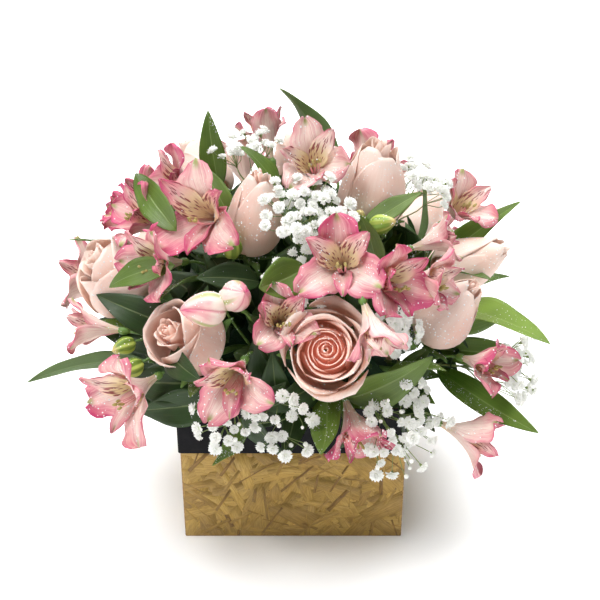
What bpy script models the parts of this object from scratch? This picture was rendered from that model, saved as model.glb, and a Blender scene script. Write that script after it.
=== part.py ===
"""A table centrepiece: a square box of oriented-strand board with a black collar, and a domed arrangement of
roses, alstroemeria, gypsophila and leaves whose stems stand in a block of floral foam.

Metres, +Z up. The origin is the centre of the box's underside and the front of the box faces -Y.
Every stem points at one spot in the foam, its heart, so a piece is placed from there by an azimuth (0 is the
front, 90 the right), an elevation above the horizontal, both in degrees, and a reach in millimetres.
"""

import math

import bmesh
import bpy
from mathutils import Matrix, Vector

MM = 0.001

# Box: four wall panels around a base panel, all cut from one board.
BOX_WIDTH = 160 * MM
BOX_HEIGHT = 110 * MM
BOARD = 9.5 * MM
GAP = 0.3 * MM
EDGE_BREAK = 0.6 * MM

# Collar: a black band glued round the top of the box.
COLLAR_HEIGHT = 36 * MM
COLLAR_THICKNESS = 1.6 * MM
COLLAR_CORNER = 2.5 * MM
CORNER_STEP = math.radians(35)

# Liner: the watertight tray inside the box. Foam: the block that stands in it and rises above the rim.
LINER_WALL = 1.5 * MM
LINER_TOP = 100 * MM
LINER_HALF = BOX_WIDTH / 2 - BOARD - 2 * GAP
FOAM_HALF = LINER_HALF - LINER_WALL - GAP
FOAM_TOP = 160 * MM
FOAM_CHAMFER = 36 * MM

# Stems meet at the heart of the foam. They start this far from it and keep above the rim of the box.
HEART = Vector((0, 0, BOX_HEIGHT))
ROOT_REACH = 36
LOWEST_ROOT = 9
SOCKET_PLAY = 0.5
SOCKET_END_PLAY = 1.5
SOCKET_SIDES = 6
PROUD = 5

ROSE_STEM = 2.3
SPRIG_STEM = 2.0
PEDICEL = 1.1
SPRAY_STEM = 1.0
TWIG = 0.55
FLORET = 3.6
PETIOLE = 1.3
LEAF_PLAY = 0.8
LEAF_THICKNESS = 0.9 * MM
LEAF_ROWS = 7
LEAF_FOLD = 0.22

# A stalk's curve is pulled this share of its length along both of its end directions. A spray forks this far
# below its middle, and a flower's funnel starts this share of its width behind its middle.
STALK_PULL = 0.38
FORK_DEPTH = 34
FUNNEL_START = 0.42
GOLDEN_ANGLE = math.radians(137.5)

# Outlines of a rose head, a flower's funnel and a bud: how far along the axis, and how wide there, both as
# shares of the head's length and half width, of the funnel's width and half width, and of the bud's length.
ROSE_PROFILE = ((0.06, 0.5), (0.2, 0.84), (0.42, 1.0), (0.66, 0.92), (0.86, 0.7), (1.0, 0.36))
FUNNEL_PROFILE = ((0.2, 0.2), (0.45, 0.4), (0.62, 0.62), (0.7, 0.45))
BUD_PROFILE = ((0.1, 0.2), (0.4, 0.33), (0.7, 0.28), (1.0, 0.08))

# Each rose: where the middle of its head is, the way it faces, its diameter and its length in millimetres.
ROSES = {
    "rose_front": ((9, 28, 152), (-2, 30), 50, 42),
    "rose_front_left": ((-31, 28, 150), (-38, 38), 46, 44),
    "rose_left": ((-69, 34, 158), (-62, 42), 52, 46),
    "rose_centre": ((-24, 65, 148), (60, 80), 39, 58),
    "rose_top_right": ((60, 67, 159), (60, 80), 44, 60),
    "rose_right_upper": ((86, 32, 152), (80, 28), 38, 56),
    "rose_right_lower": ((51, 30, 152), (66, 52), 39, 54),
    "rose_back_left": ((-125, 56, 158), (-125, 60), 44, 54),
    "rose_back_right": ((124, 37, 150), (120, 45), 42, 54),
    "rose_back": ((176, 62, 150), (178, 58), 46, 50),
    "rose_back_low": ((158, 22, 150), (158, 24), 50, 46),
    "rose_back_left_low": ((-128, 22, 150), (-128, 26), 48, 48),
}

# Each alstroemeria stem: where its flower stalks part, then its open flowers and its buds, each with the
# place of its middle, the way it faces, and its width (a flower) or length (a bud) in millimetres.
SPRIGS = {
    "alstroemeria_upper_left": (
        (-52, 52, 92),
        [
            ((-76, 63, 164), (-62, 36), 50),
            ((-38, 56, 166), (-26, 22), 56),
            ((-42, 41, 168), (-54, 4), 42),
            ((-66, 49, 167), (-66, 34), 46),
            ((-88, 44, 165), (-92, 30), 44),
        ],
        [((-25, 53, 152), (-10, 70), 20)],
    ),
    "alstroemeria_lower_left": (
        (-48, 16, 100),
        [((-38, 13, 170), (-34, -6), 58), ((-55, 22, 172), (-84, 8), 46)],
        [((-41, 19, 148), (-30, 20), 17), ((-43, 25, 140), (-30, 30), 17)],
    ),
    "alstroemeria_centre": (
        (26, 46, 96),
        [((15, 46, 168), (-8, 38), 48), ((27, 40, 172), (38, 18), 46), ((18, 31, 181), (24, -42), 42)],
        [((42, 56, 156), (70, 20), 19), ((34, 60, 152), (30, 60), 17)],
    ),
    "alstroemeria_right": (
        (48, 47, 100),
        [((54, 46, 165), (84, 22), 36), ((39, 38, 170), (60, 10), 42)],
        [],
    ),
    "alstroemeria_top_right": ((88, 50, 100), [((96, 43, 168), (44, 46), 48)], []),
    "alstroemeria_top": (
        (0, 80, 96),
        [((15, 75, 172), (-4, 44), 48), ((-150, 76, 168), (-150, 60), 44)],
        [],
    ),
    "alstroemeria_lower_centre": (
        (-14, 24, 96),
        [((-13, 22, 166), (-8, -10), 60), ((-5, 36, 150), (14, 44), 36)],
        [((-22, 35, 172), (-60, 10), 30), ((-15, 39, 166), (30, 30), 27)],
    ),
    "alstroemeria_low_front": ((21, 10, 96), [((16, 8, 145), (20, -34), 46)], []),
    "alstroemeria_low_right": (
        (47, 13, 104),
        [((49, 17, 170), (38, 12), 40), ((43, 2, 167), (76, -16), 46)],
        [],
    ),
    "alstroemeria_back_right": (
        (152, 44, 98),
        [((146, 48, 166), (146, 40), 56), ((128, 16, 164), (124, 8), 54)],
        [((158, 44, 166), (158, 44), 20)],
    ),
    "alstroemeria_back": (
        (-166, 36, 98),
        [((-178, 36, 166), (180, 30), 58), ((-158, 46, 168), (-158, 50), 52)],
        [((-170, 22, 158), (-170, 14), 20)],
    ),
    "alstroemeria_back_left": (
        (-100, 26, 100),
        [((-96, 20, 166), (-98, 14), 56), ((-108, 44, 164), (-112, 40), 48)],
        [],
    ),
    "alstroemeria_back_low": ((-176, 4, 96), [((176, 3, 150), (176, -20), 50)], []),
}

# Each gypsophila spray: the middle of its cloud of florets, its spread in millimetres, and how many florets.
SPRAYS = {
    "gypsophila_top_left": ((-74, 79, 170), 21, 9),
    "gypsophila_centre": ((7, 60, 167), 21, 11),
    "gypsophila_centre_low": ((2, 47, 146), 15, 7),
    "gypsophila_top_right": ((80, 57, 172), 17, 8),
    "gypsophila_low_left": ((-22, 9, 146), 19, 9),
    "gypsophila_low_centre": ((-6, 9, 142), 14, 9),
    "gypsophila_low_right": ((28, 6, 150), 20, 10),
    "gypsophila_right": ((29, 30, 156), 11, 7),
    "gypsophila_far_right": ((60, 11, 178), 18, 9),
    "gypsophila_back": ((-146, 32, 162), 28, 11),
}

# Each leaf: where its blade starts and ends, its width in millimetres, how far it bows off the straight line
# between them, and the turn of its face about that line in degrees.
LEAVES = {
    "leaf_top": ((136, 70, 138), (-165, 79, 201), 24, 12, 60),
    "leaf_top_left": ((-116, 64, 140), (-118, 69, 195), 18, 5, 30),
    "leaf_upper_left": ((-72, 52, 120), (-82, 53, 180), 20, 6, 30),
    "leaf_far_left": ((-60, 12, 120), (-62, 8, 202), 16, 9, 60),
    "leaf_left_inner": ((-50, 24, 108), (-62, 21, 168), 18, 5, 10),
    "leaf_left_curl": ((-40, 47, 116), (-34, 35, 174), 17, 8, 20),
    "leaf_front_left": ((-30, 15, 102), (-22, 17, 170), 18, 5, 10),
    "leaf_centre": ((-4, 44, 108), (-5, 42, 172), 19, -5, 10),
    "leaf_front_right": ((31, 13, 112), (37, 19, 168), 24, 8, 10),
    "leaf_low_front": ((12, 15, 112), (6, 7, 170), 20, -6, 20),
    "leaf_drape": ((-14, 5, 106), (-24, -9, 132), 24, -6, 5),
    "leaf_right_upper": ((108, 26, 118), (96, 35, 206), 21, 6, 50),
    "leaf_right": ((80, 20, 122), (51, 18, 216), 27, 8, 15),
    "leaf_low_right": ((61, 9, 118), (46, 6, 212), 20, -6, 25),
    "leaf_back_right": ((112, 16, 112), (106, 14, 186), 22, 6, 20),
    "leaf_back_left": ((-146, 16, 112), (-148, 14, 186), 22, -6, 20),
    "leaf_left_back": ((-104, 34, 122), (-84, 32, 190), 17, 5, 30),
}


def aim(azimuth, elevation):
    """The unit vector of a direction given in degrees."""
    a, e = math.radians(azimuth), math.radians(elevation)
    return Vector((math.sin(a) * math.cos(e), -math.cos(a) * math.cos(e), math.sin(e)))


def place(azimuth, elevation, reach):
    """The point that far, in millimetres, from the heart of the foam."""
    return HEART + aim(azimuth, elevation) * reach * MM


def root_of(azimuth, elevation):
    """The direction in which a stem leaves the heart: its flower's own, but high enough to clear the rim."""
    return azimuth, max(elevation, LOWEST_ROOT)


def foam_reach(direction):
    """How far the foam goes from its heart in a direction, in millimetres: to a side, the top or a slant."""
    x, y, z = abs(direction.x), abs(direction.y), direction.z
    rise = FOAM_TOP - HEART.z
    slant = FOAM_HALF + rise - FOAM_CHAMFER
    return min(FOAM_HALF / max(x, y), rise / z, slant / (max(x, y) + z)) / MM


def planted(spot, radius):
    """The straight foot of a stem, from its root to just outside the foam, and its direction there."""
    out = aim(*root_of(*spot[:2]))
    ends = (ROOT_REACH, foam_reach(out) + PROUD)
    return out, [(HEART + out * end * MM, radius) for end in ends]


def bezier(p0, p1, p2, p3, steps):
    """Points along a cubic Bezier curve, both ends included."""
    points = []
    for i in range(steps + 1):
        t = i / steps
        s = 1 - t
        points.append(p0 * s**3 + p1 * 3 * s * s * t + p2 * 3 * s * t * t + p3 * t**3)
    return points


def collection(name, parent):
    made = bpy.data.collections.new(name)
    parent.children.link(made)
    return made


def material(name, colour, roughness, metallic=0.0):
    made = bpy.data.materials.new(name)
    made.use_nodes = True
    shader = made.node_tree.nodes["Principled BSDF"]
    shader.inputs["Base Color"].default_value = (*colour, 1.0)
    shader.inputs["Roughness"].default_value = roughness
    shader.inputs["Metallic"].default_value = metallic
    return made


def clear_scene():
    for old in list(bpy.data.objects):
        bpy.data.objects.remove(old, do_unlink=True)


class Model:
    """The collections that hold the pieces and the cutters, and the materials."""

    def __init__(self):
        clear_scene()
        top = bpy.context.scene.collection
        self.pieces = collection("floral_centrepiece", top)
        self.cutters = collection("cutters", top)
        self.wood = material("strand_board", (0.56, 0.38, 0.17), 0.6)
        self.black = material("black_collar", (0.012, 0.012, 0.014), 0.85)
        self.plastic = material("liner_plastic", (0.02, 0.02, 0.02), 0.4)
        self.foam = material("floral_foam", (0.05, 0.16, 0.07), 0.95)
        self.rose = material("rose_petal", (0.86, 0.55, 0.48), 0.5)
        self.lily = material("alstroemeria_petal", (0.85, 0.38, 0.45), 0.45)
        self.white = material("gypsophila_floret", (0.9, 0.9, 0.86), 0.6)
        self.leaf = material("leaf", (0.06, 0.2, 0.03), 0.4)

    def add(self, name, data, look):
        made = bpy.data.objects.new(name, data)
        data.materials.append(look)
        self.pieces.objects.link(made)
        return made

    def as_cutter(self, obj):
        """Moves an object to the cutters, which are never built or rendered."""
        for owner in list(obj.users_collection):
            owner.objects.unlink(obj)
        self.cutters.objects.link(obj)
        obj.hide_render = True
        obj.display_type = "WIRE"
        return obj


def box_mesh(name, low, high):
    """A closed box between two corners."""
    bm = bmesh.new()
    bmesh.ops.create_cube(bm, size=1.0)
    low, high = Vector(low), Vector(high)
    for vert in bm.verts:
        for axis in range(3):
            vert.co[axis] = low[axis] if vert.co[axis] < 0 else high[axis]
    mesh = bpy.data.meshes.new(name)
    bm.to_mesh(mesh)
    bm.free()
    return mesh


def bevelled(obj, width, segments=1):
    bevel = obj.modifiers.new("edge_break", "BEVEL")
    bevel.width = width
    bevel.segments = segments
    bevel.limit_method = "ANGLE"
    return obj


def boolean(obj, other, operation, own=False):
    cut = obj.modifiers.new(operation.lower(), "BOOLEAN")
    cut.operation = operation
    cut.solver = "EXACT"
    cut.use_self = own
    cut.object = other
    return cut


# ---- The box -------------------------------------------------------------------------------------


def add_box(model):
    half = BOX_WIDTH / 2
    inner = half - BOARD
    walls = {
        "box_front_panel": ((-half, -half, 0), (half, -inner, BOX_HEIGHT)),
        "box_back_panel": ((-half, inner, 0), (half, half, BOX_HEIGHT)),
        "box_left_panel": ((-half, -inner + GAP, 0), (-inner, inner - GAP, BOX_HEIGHT)),
        "box_right_panel": ((inner, -inner + GAP, 0), (half, inner - GAP, BOX_HEIGHT)),
        "box_base_panel": ((-inner + GAP, -inner + GAP, 0), (inner - GAP, inner - GAP, BOARD)),
    }
    for name, (low, high) in walls.items():
        bevelled(model.add(name, box_mesh(name, low, high), model.wood), EDGE_BREAK)


def rounded_square(name, half, radius, low, high, model):
    """An upright square prism whose four upright edges are rounded, as an extruded flat outline."""
    outline = bpy.data.curves.new(name, "CURVE")
    outline.dimensions = "2D"
    outline.fill_mode = "BOTH"
    outline.extrude = (high - low) / 2
    spline = outline.splines.new("POLY")
    corners = []
    for quarter in range(4):
        centre_turn = math.radians(45 + 90 * quarter)
        reach = (half - radius) * math.sqrt(2)
        centre = Vector((math.cos(centre_turn), math.sin(centre_turn))) * reach
        for step in range(4):
            turn = math.radians(90 * quarter + 30 * step)
            corners.append(centre + Vector((math.cos(turn), math.sin(turn))) * radius)
    spline.points.add(len(corners) - 1)
    for point, corner in zip(spline.points, corners):
        point.co = (corner.x, corner.y, 0, 1)
    spline.use_cyclic_u = True
    made = bpy.data.objects.new(name, outline)
    made.location.z = (low + high) / 2
    model.pieces.objects.link(made)
    return mesh_of(made, model)


def mesh_of(curve, model):
    """Turns a curve object into a mesh object with welded caps, in place."""
    bpy.context.view_layer.update()
    evaluated = curve.evaluated_get(bpy.context.evaluated_depsgraph_get())
    mesh = bpy.data.meshes.new_from_object(evaluated)
    bm = bmesh.new()
    bm.from_mesh(mesh)
    bmesh.ops.remove_doubles(bm, verts=bm.verts, dist=1e-6)
    bmesh.ops.recalc_face_normals(bm, faces=bm.faces)
    bm.to_mesh(mesh)
    bm.free()
    name = curve.name
    made = bpy.data.objects.new(name, mesh)
    made.matrix_world = curve.matrix_world
    model.pieces.objects.link(made)
    bpy.data.objects.remove(curve, do_unlink=True)
    made.name = name
    return made


def add_collar(model):
    half = BOX_WIDTH / 2
    bottom = BOX_HEIGHT - COLLAR_HEIGHT
    collar = rounded_square(
        "collar", half + COLLAR_THICKNESS, COLLAR_CORNER, bottom, BOX_HEIGHT, model
    )
    collar.data.materials.append(model.black)
    collar.data.shade_smooth()
    collar.data.set_sharp_from_angle(angle=CORNER_STEP)
    reach = half + GAP
    hollow = model.add(
        "collar_hollow",
        box_mesh("collar_hollow", (-reach, -reach, bottom - 0.01), (reach, reach, BOX_HEIGHT + 0.01)),
        model.black,
    )
    boolean(collar, model.as_cutter(hollow), "DIFFERENCE")


def add_liner(model):
    outer = LINER_HALF
    low = BOARD + GAP
    name = "liner_tray"
    tray = model.add(name, box_mesh(name, (-outer, -outer, low), (outer, outer, LINER_TOP)), model.plastic)
    inner = outer - LINER_WALL
    name = "liner_hollow"
    hollow = model.add(
        name,
        box_mesh(name, (-inner, -inner, low + LINER_WALL), (inner, inner, LINER_TOP + 0.01)),
        model.plastic,
    )
    boolean(tray, model.as_cutter(hollow), "DIFFERENCE")


def add_foam(model, sockets):
    """The foam block, its top edges cut off at a slant, with a socket for every stem."""
    half = FOAM_HALF
    low = BOARD + 2 * GAP + LINER_WALL
    name = "foam_block"
    foam = model.add(name, box_mesh(name, (-half, -half, low), (half, half, FOAM_TOP)), model.foam)
    bm = bmesh.new()
    bm.from_mesh(foam.data)
    top = [e for e in bm.edges if all(v.co.z > FOAM_TOP - MM for v in e.verts)]
    bmesh.ops.bevel(bm, geom=top, offset=FOAM_CHAMFER, segments=1, affect="EDGES")
    bm.to_mesh(foam.data)
    bm.free()
    drills = bmesh.new()
    for direction, radius in sockets:
        length = (foam_reach(direction) + PROUD - ROOT_REACH + SOCKET_END_PLAY) * MM
        start = HEART + direction * (ROOT_REACH - SOCKET_END_PLAY) * MM
        turn = direction.to_track_quat("Z", "Y").to_matrix().to_4x4()
        spot = Matrix.Translation(start + direction * length / 2)
        wide = (radius + SOCKET_PLAY) * MM
        bmesh.ops.create_cone(
            drills,
            cap_ends=True,
            segments=SOCKET_SIDES,
            radius1=wide,
            radius2=wide,
            depth=length,
            matrix=spot @ turn,
        )
    mesh = bpy.data.meshes.new("socket_drills")
    drills.to_mesh(mesh)
    drills.free()
    cutter = model.add("socket_drills", mesh, model.foam)
    boolean(foam, model.as_cutter(cutter), "DIFFERENCE", own=True)


# ---- Stems, flowers and florets, as tubes of changing radius -------------------------------------


def tube(name, line, sides, model, look):
    """A closed tube through (point, radius in millimetres) pairs, as a bevelled curve object."""
    curve = bpy.data.curves.new(name, "CURVE")
    curve.dimensions = "3D"
    curve.bevel_depth = MM
    curve.bevel_resolution = (sides - 4) // 2
    curve.use_fill_caps = True
    spline = curve.splines.new("POLY")
    spline.points.add(len(line) - 1)
    for point, (spot, radius) in zip(spline.points, line):
        point.co = (*spot, 1)
        point.radius = radius
    return model.add(name, curve, look)


def joined(name, lines, sides, model, look):
    """One closed body from tubes that overlap: the first line, with all the others joined to it."""
    trunk = mesh_of(tube(name, lines[0], sides, model, look), model)
    bm = bmesh.new()
    for line in lines[1:]:
        branch = mesh_of(tube(name + "_branch", line, sides, model, look), model)
        bm.from_mesh(branch.data)
        bpy.data.objects.remove(branch, do_unlink=True)
    mesh = bpy.data.meshes.new(name + "_branches")
    bm.to_mesh(mesh)
    bm.free()
    branches = model.add(name + "_branches", mesh, look)
    boolean(trunk, model.as_cutter(branches), "UNION", own=True)
    return trunk


def stalk_line(start, end, out, into, radius, steps=2):
    """A stalk from one point to another that leaves along one direction and arrives along another."""
    pull = (end - start).length * STALK_PULL
    points = bezier(start, start + out * pull, end - into * pull, end, steps)
    return [(point, radius) for point in points]


def rose_line(spot, facing, width, length):
    """A rose from its root to the tip of its head: a stem, the swollen hip, and an egg-shaped head."""
    middle = place(*spot)
    face = aim(*facing)
    base = middle - face * length * 0.5 * MM
    out, line = planted(spot, ROSE_STEM)
    line += stalk_line(line[-1][0], base - face * 6 * MM, out, face, ROSE_STEM)[1:]
    line.append((base - face * 2 * MM, 4.2))
    for along, share in ROSE_PROFILE:
        line.append((base + face * along * length * MM, width / 2 * share))
    return line


def flower_line(hub, spot, facing, width):
    """An alstroemeria flower from its stalk's start: the stalk, the ovary and a funnel up to its mouth."""
    face = aim(*facing)
    middle = place(*spot)
    base = middle - face * width * FUNNEL_START * MM
    line = stalk_line(hub, base - face * 5 * MM, (base - hub).normalized(), face, PEDICEL)
    line.append((base - face * 2 * MM, 3.4))
    line.append((base + face * 3 * MM, 3.2))
    for along, share in FUNNEL_PROFILE:
        line.append((base + face * along * width * MM, width / 2 * share))
    return line


def bud_line(hub, spot, facing, length):
    """A closed alstroemeria bud on its stalk."""
    face = aim(*facing)
    base = place(*spot) - face * length * 0.5 * MM
    line = stalk_line(hub, base - face * 2 * MM, (base - hub).normalized(), face, PEDICEL)
    for along, share in BUD_PROFILE:
        line.append((base + face * along * length * MM, length * share))
    return line


def add_sprig(name, sprig, model):
    """An alstroemeria stem whose stalks all start in the knob at its top."""
    parting, flowers, buds = sprig
    out, foot = planted(parting, SPRIG_STEM)
    hub = place(*parting)
    lines = [foot + [(hub, SPRIG_STEM), (hub + out * 3 * MM, 2.6)]]
    lines += [flower_line(hub, *flower) for flower in flowers]
    lines += [bud_line(hub, *bud) for bud in buds]
    joined(name, lines, 6, model, model.lily)
    return out, SPRIG_STEM


def spray_spots(spot, spread, count):
    """The florets of a spray: on a disc that faces outwards, a golden angle apart, in and out by turns."""
    centre = place(*spot)
    face = aim(*spot[:2])
    across = face.cross(Vector((0, 0, 1))).normalized()
    up = across.cross(face)
    spots = []
    for i in range(count):
        reach = spread * math.sqrt((i + 0.5) / count) * MM
        lift = (3, -3, 0)[i % 3] * MM
        turn = GOLDEN_ANGLE * i
        spots.append(centre + (across * math.cos(turn) + up * math.sin(turn)) * reach + face * lift)
    return spots


def add_spray(name, spray, model):
    spot, spread, count = spray
    out, foot = planted(spot, SPRAY_STEM)
    fork = place(spot[0], spot[1], spot[2] - FORK_DEPTH)
    lines = [foot + [(fork, SPRAY_STEM), (fork + out * 8 * MM, SPRAY_STEM)]]
    for i, tip in enumerate(spray_spots(*spray)):
        start = fork + out * (i % 4) * 1.5 * MM
        arrive = (tip - fork).normalized()
        line = stalk_line(start, tip - arrive * FLORET * MM, out, arrive, TWIG)
        line += [(tip, FLORET), (tip + arrive * FLORET * MM, FLORET * 0.5)]
        lines.append(line)
    joined(name, lines, 4, model, model.white)
    return out, SPRAY_STEM


# ---- Leaves --------------------------------------------------------------------------------------


def leaf_half_width(t, width):
    """Half the blade's width, in millimetres, at a share t of the way from where it starts to its tip."""
    return max(width / 2 * math.sin(math.pi * min(t, 1.0) ** 0.8) ** 0.75, 0.5)


def add_leaf(name, leaf, model):
    """A narrow stalk out of the foam that widens into a bowed blade, as a thickened ribbon."""
    start, end, width, bow, turn = leaf
    out, planting = planted(start, PETIOLE)
    foot, tip = place(*start), place(*end)
    along = (tip - foot).normalized()
    side = Matrix.Rotation(math.radians(turn), 3, along) @ along.cross(Vector((0, 0, 1))).normalized()
    face = side.cross(along).normalized()
    exit_point = planting[-1][0]
    stalk = bezier(exit_point, exit_point.lerp(foot, 0.5), foot - along * 8 * MM, foot, 2)
    lift = face * bow * MM
    blade = bezier(foot, foot.lerp(tip, 0.33) + lift, foot.lerp(tip, 0.7) + lift, tip, LEAF_ROWS)
    rows = planting[:1] + [(point, PETIOLE) for point in stalk[:-1]]
    rows += [(point, leaf_half_width(max(i / LEAF_ROWS, 0.04), width)) for i, point in enumerate(blade)]
    bm = bmesh.new()
    grid = []
    for point, half in rows:
        fold = face * half * LEAF_FOLD * MM
        grid.append([bm.verts.new(point + side * half * s * MM + fold * abs(s)) for s in (-1, 0, 1)])
    for lower, upper in zip(grid, grid[1:]):
        for i in range(2):
            bm.faces.new((lower[i], lower[i + 1], upper[i + 1], upper[i])).smooth = True
    mesh = bpy.data.meshes.new(name)
    bm.to_mesh(mesh)
    bm.free()
    blade = model.add(name, mesh, model.leaf)
    thick = blade.modifiers.new("thickness", "SOLIDIFY")
    thick.thickness = LEAF_THICKNESS
    thick.offset = 0
    return out, PETIOLE + LEAF_PLAY


def main():
    model = Model()
    add_box(model)
    add_collar(model)
    add_liner(model)
    sockets = []
    for name, rose in ROSES.items():
        tube(name, rose_line(*rose), 8, model, model.rose)
        sockets.append((aim(*root_of(*rose[0][:2])), ROSE_STEM))
    for name, sprig in SPRIGS.items():
        sockets.append(add_sprig(name, sprig, model))
    for name, spray in SPRAYS.items():
        sockets.append(add_spray(name, spray, model))
    for name, leaf in LEAVES.items():
        sockets.append(add_leaf(name, leaf, model))
    add_foam(model, sockets)


main()
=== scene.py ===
"""The looks of the floral centrepiece: petals, leaves, florets, dew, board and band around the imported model.

Layouts are written as in the model: an azimuth (0 is the front, 90 the right) and an elevation in degrees,
and a reach in millimetres, all from the heart of the foam, which is the middle of the box's top.
"""

import math

import bpy
import numpy as np
from mathutils import Matrix, Quaternion, Vector


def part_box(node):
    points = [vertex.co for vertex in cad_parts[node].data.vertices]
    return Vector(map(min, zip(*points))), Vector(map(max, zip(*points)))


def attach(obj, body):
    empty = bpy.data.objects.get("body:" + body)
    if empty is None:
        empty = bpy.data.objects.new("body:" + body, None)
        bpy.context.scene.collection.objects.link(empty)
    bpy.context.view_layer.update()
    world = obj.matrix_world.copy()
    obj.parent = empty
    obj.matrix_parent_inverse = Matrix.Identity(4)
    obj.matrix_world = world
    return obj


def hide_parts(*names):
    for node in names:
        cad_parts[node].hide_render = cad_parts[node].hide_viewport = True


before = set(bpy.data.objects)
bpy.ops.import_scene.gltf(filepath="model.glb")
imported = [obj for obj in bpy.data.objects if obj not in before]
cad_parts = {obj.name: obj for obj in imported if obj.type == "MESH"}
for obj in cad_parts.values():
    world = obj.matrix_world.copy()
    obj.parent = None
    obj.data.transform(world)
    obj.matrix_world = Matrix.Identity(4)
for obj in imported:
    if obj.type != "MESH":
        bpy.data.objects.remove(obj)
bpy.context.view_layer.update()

MM = 0.001
GOLDEN = math.radians(137.508)
rng = np.random.default_rng(11)

COLLAR_LOW, COLLAR_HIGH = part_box("collar")
HEART = Vector((0, 0, COLLAR_HIGH.z))
UP = Vector((0, 0, 1))
STEM_START, STEM_CLEAR = 36, 78  # from the heart, in millimetres, to a stem's foot and to where it is clear
LOWEST_STEM = 9  # the least elevation of a stem inside the foam, in degrees
PETAL, SEPAL, TEPAL, BUD, LEAF, FLORET = (mm * MM for mm in (0.35, 0.5, 0.3, 0.2, 0.35, 0.15))  # thicknesses
PETAL_CUP = 0.34  # the share of a rose petal's height in which it widens to its belly
WIDE_STRANDS = 0.87  # the share of a panel's strands that are wide; narrow ones lie over them
FORK_DEPTH = 42  # millimetres from the middle of a gypsophila cloud back to where its twigs part
UNOPENED = 0.16  # the share of a cloud's florets that are still buds
DROP_REACH = 118  # millimetres from the heart, beyond which droplets sit
ROSE_DROPS, LILY_DROPS, LEAF_DROPS = 800, 420, 95  # droplets on one rose, one alstroemeria stem and one leaf
LEAF_DROP_SIZE = 0.62  # of a droplet on a leaf, beside one on a petal
INNER_LEAVES = 240
FLORET_KINDS = 5
MIDDLE = (0, 0, 0.17)  # what the lights look at, in metres
LIGHTS = {  # where each light is in metres, its size in metres and its power in watts
    "key": ((-0.9, -0.8, 1.7), 0.7, 28),
    "fill": ((1.4, -1.3, 0.7), 1.0, 4),
    "top": ((0.1, 0.45, 1.9), 1.5, 52),
}
SKY_GLOW = 0.18  # the strength of the white sky as a light; the camera sees it at full strength
CAMERA_SPOT, CAMERA_TILT = (0.005, -0.619, 0.432), 66  # metres, and degrees up from straight down
CAMERA_LENS, CAMERA_SENSOR = 54, 36  # millimetres

# ---- Layout ----

# The panels of the box that carry strands: the way across each, the way it faces, and how many strands.
PANELS = {
    "box_front_panel": ((1, 0, 0), (0, -1, 0), 420),
    "box_back_panel": ((1, 0, 0), (0, 1, 0), 420),
    "box_left_panel": ((0, 1, 0), (-1, 0, 0), 380),
    "box_right_panel": ((0, 1, 0), (1, 0, 0), 380),
}

# Each rose: the middle of its head, the way it faces, its diameter and length in millimetres, how open it is
# from 0 to 1, its turn about its axis, how deep its heart's colour is, and the heart's share of the width.
ROSES = {
    "rose_front": ((9, 28, 152), (-2, 30), 54, 42, 0.8, 40, 0.85, 0.6),
    "rose_front_left": ((-31, 28, 150), (-38, 38), 50, 44, 0.55, 200, 0.6, 0.4),
    "rose_left": ((-69, 34, 158), (-62, 42), 60, 48, 0.4, 80, 0.3, 0.5),
    "rose_centre": ((-24, 65, 148), (60, 80), 40, 60, 0.05, 300, 0.6, 0.5),
    "rose_top_right": ((60, 67, 159), (60, 80), 48, 62, 0.2, 20, 0.3, 0.5),
    "rose_right_upper": ((86, 32, 152), (80, 28), 42, 58, 0.0, 140, 0.4, 0.45),
    "rose_right_lower": ((51, 30, 152), (66, 52), 42, 56, 0.0, 250, 0.5, 0.45),
    "rose_back_left": ((-125, 56, 158), (-125, 60), 46, 54, 0.3, 10, 0.3, 0.5),
    "rose_back_right": ((124, 37, 150), (120, 45), 44, 56, 0.1, 100, 0.4, 0.5),
    "rose_back": ((176, 62, 150), (178, 58), 48, 50, 0.5, 190, 0.6, 0.5),
    "rose_back_low": ((158, 22, 150), (158, 24), 52, 46, 0.8, 280, 0.8, 0.6),
    "rose_back_left_low": ((-128, 22, 150), (-128, 26), 50, 48, 0.55, 330, 0.5, 0.5),
}

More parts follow.
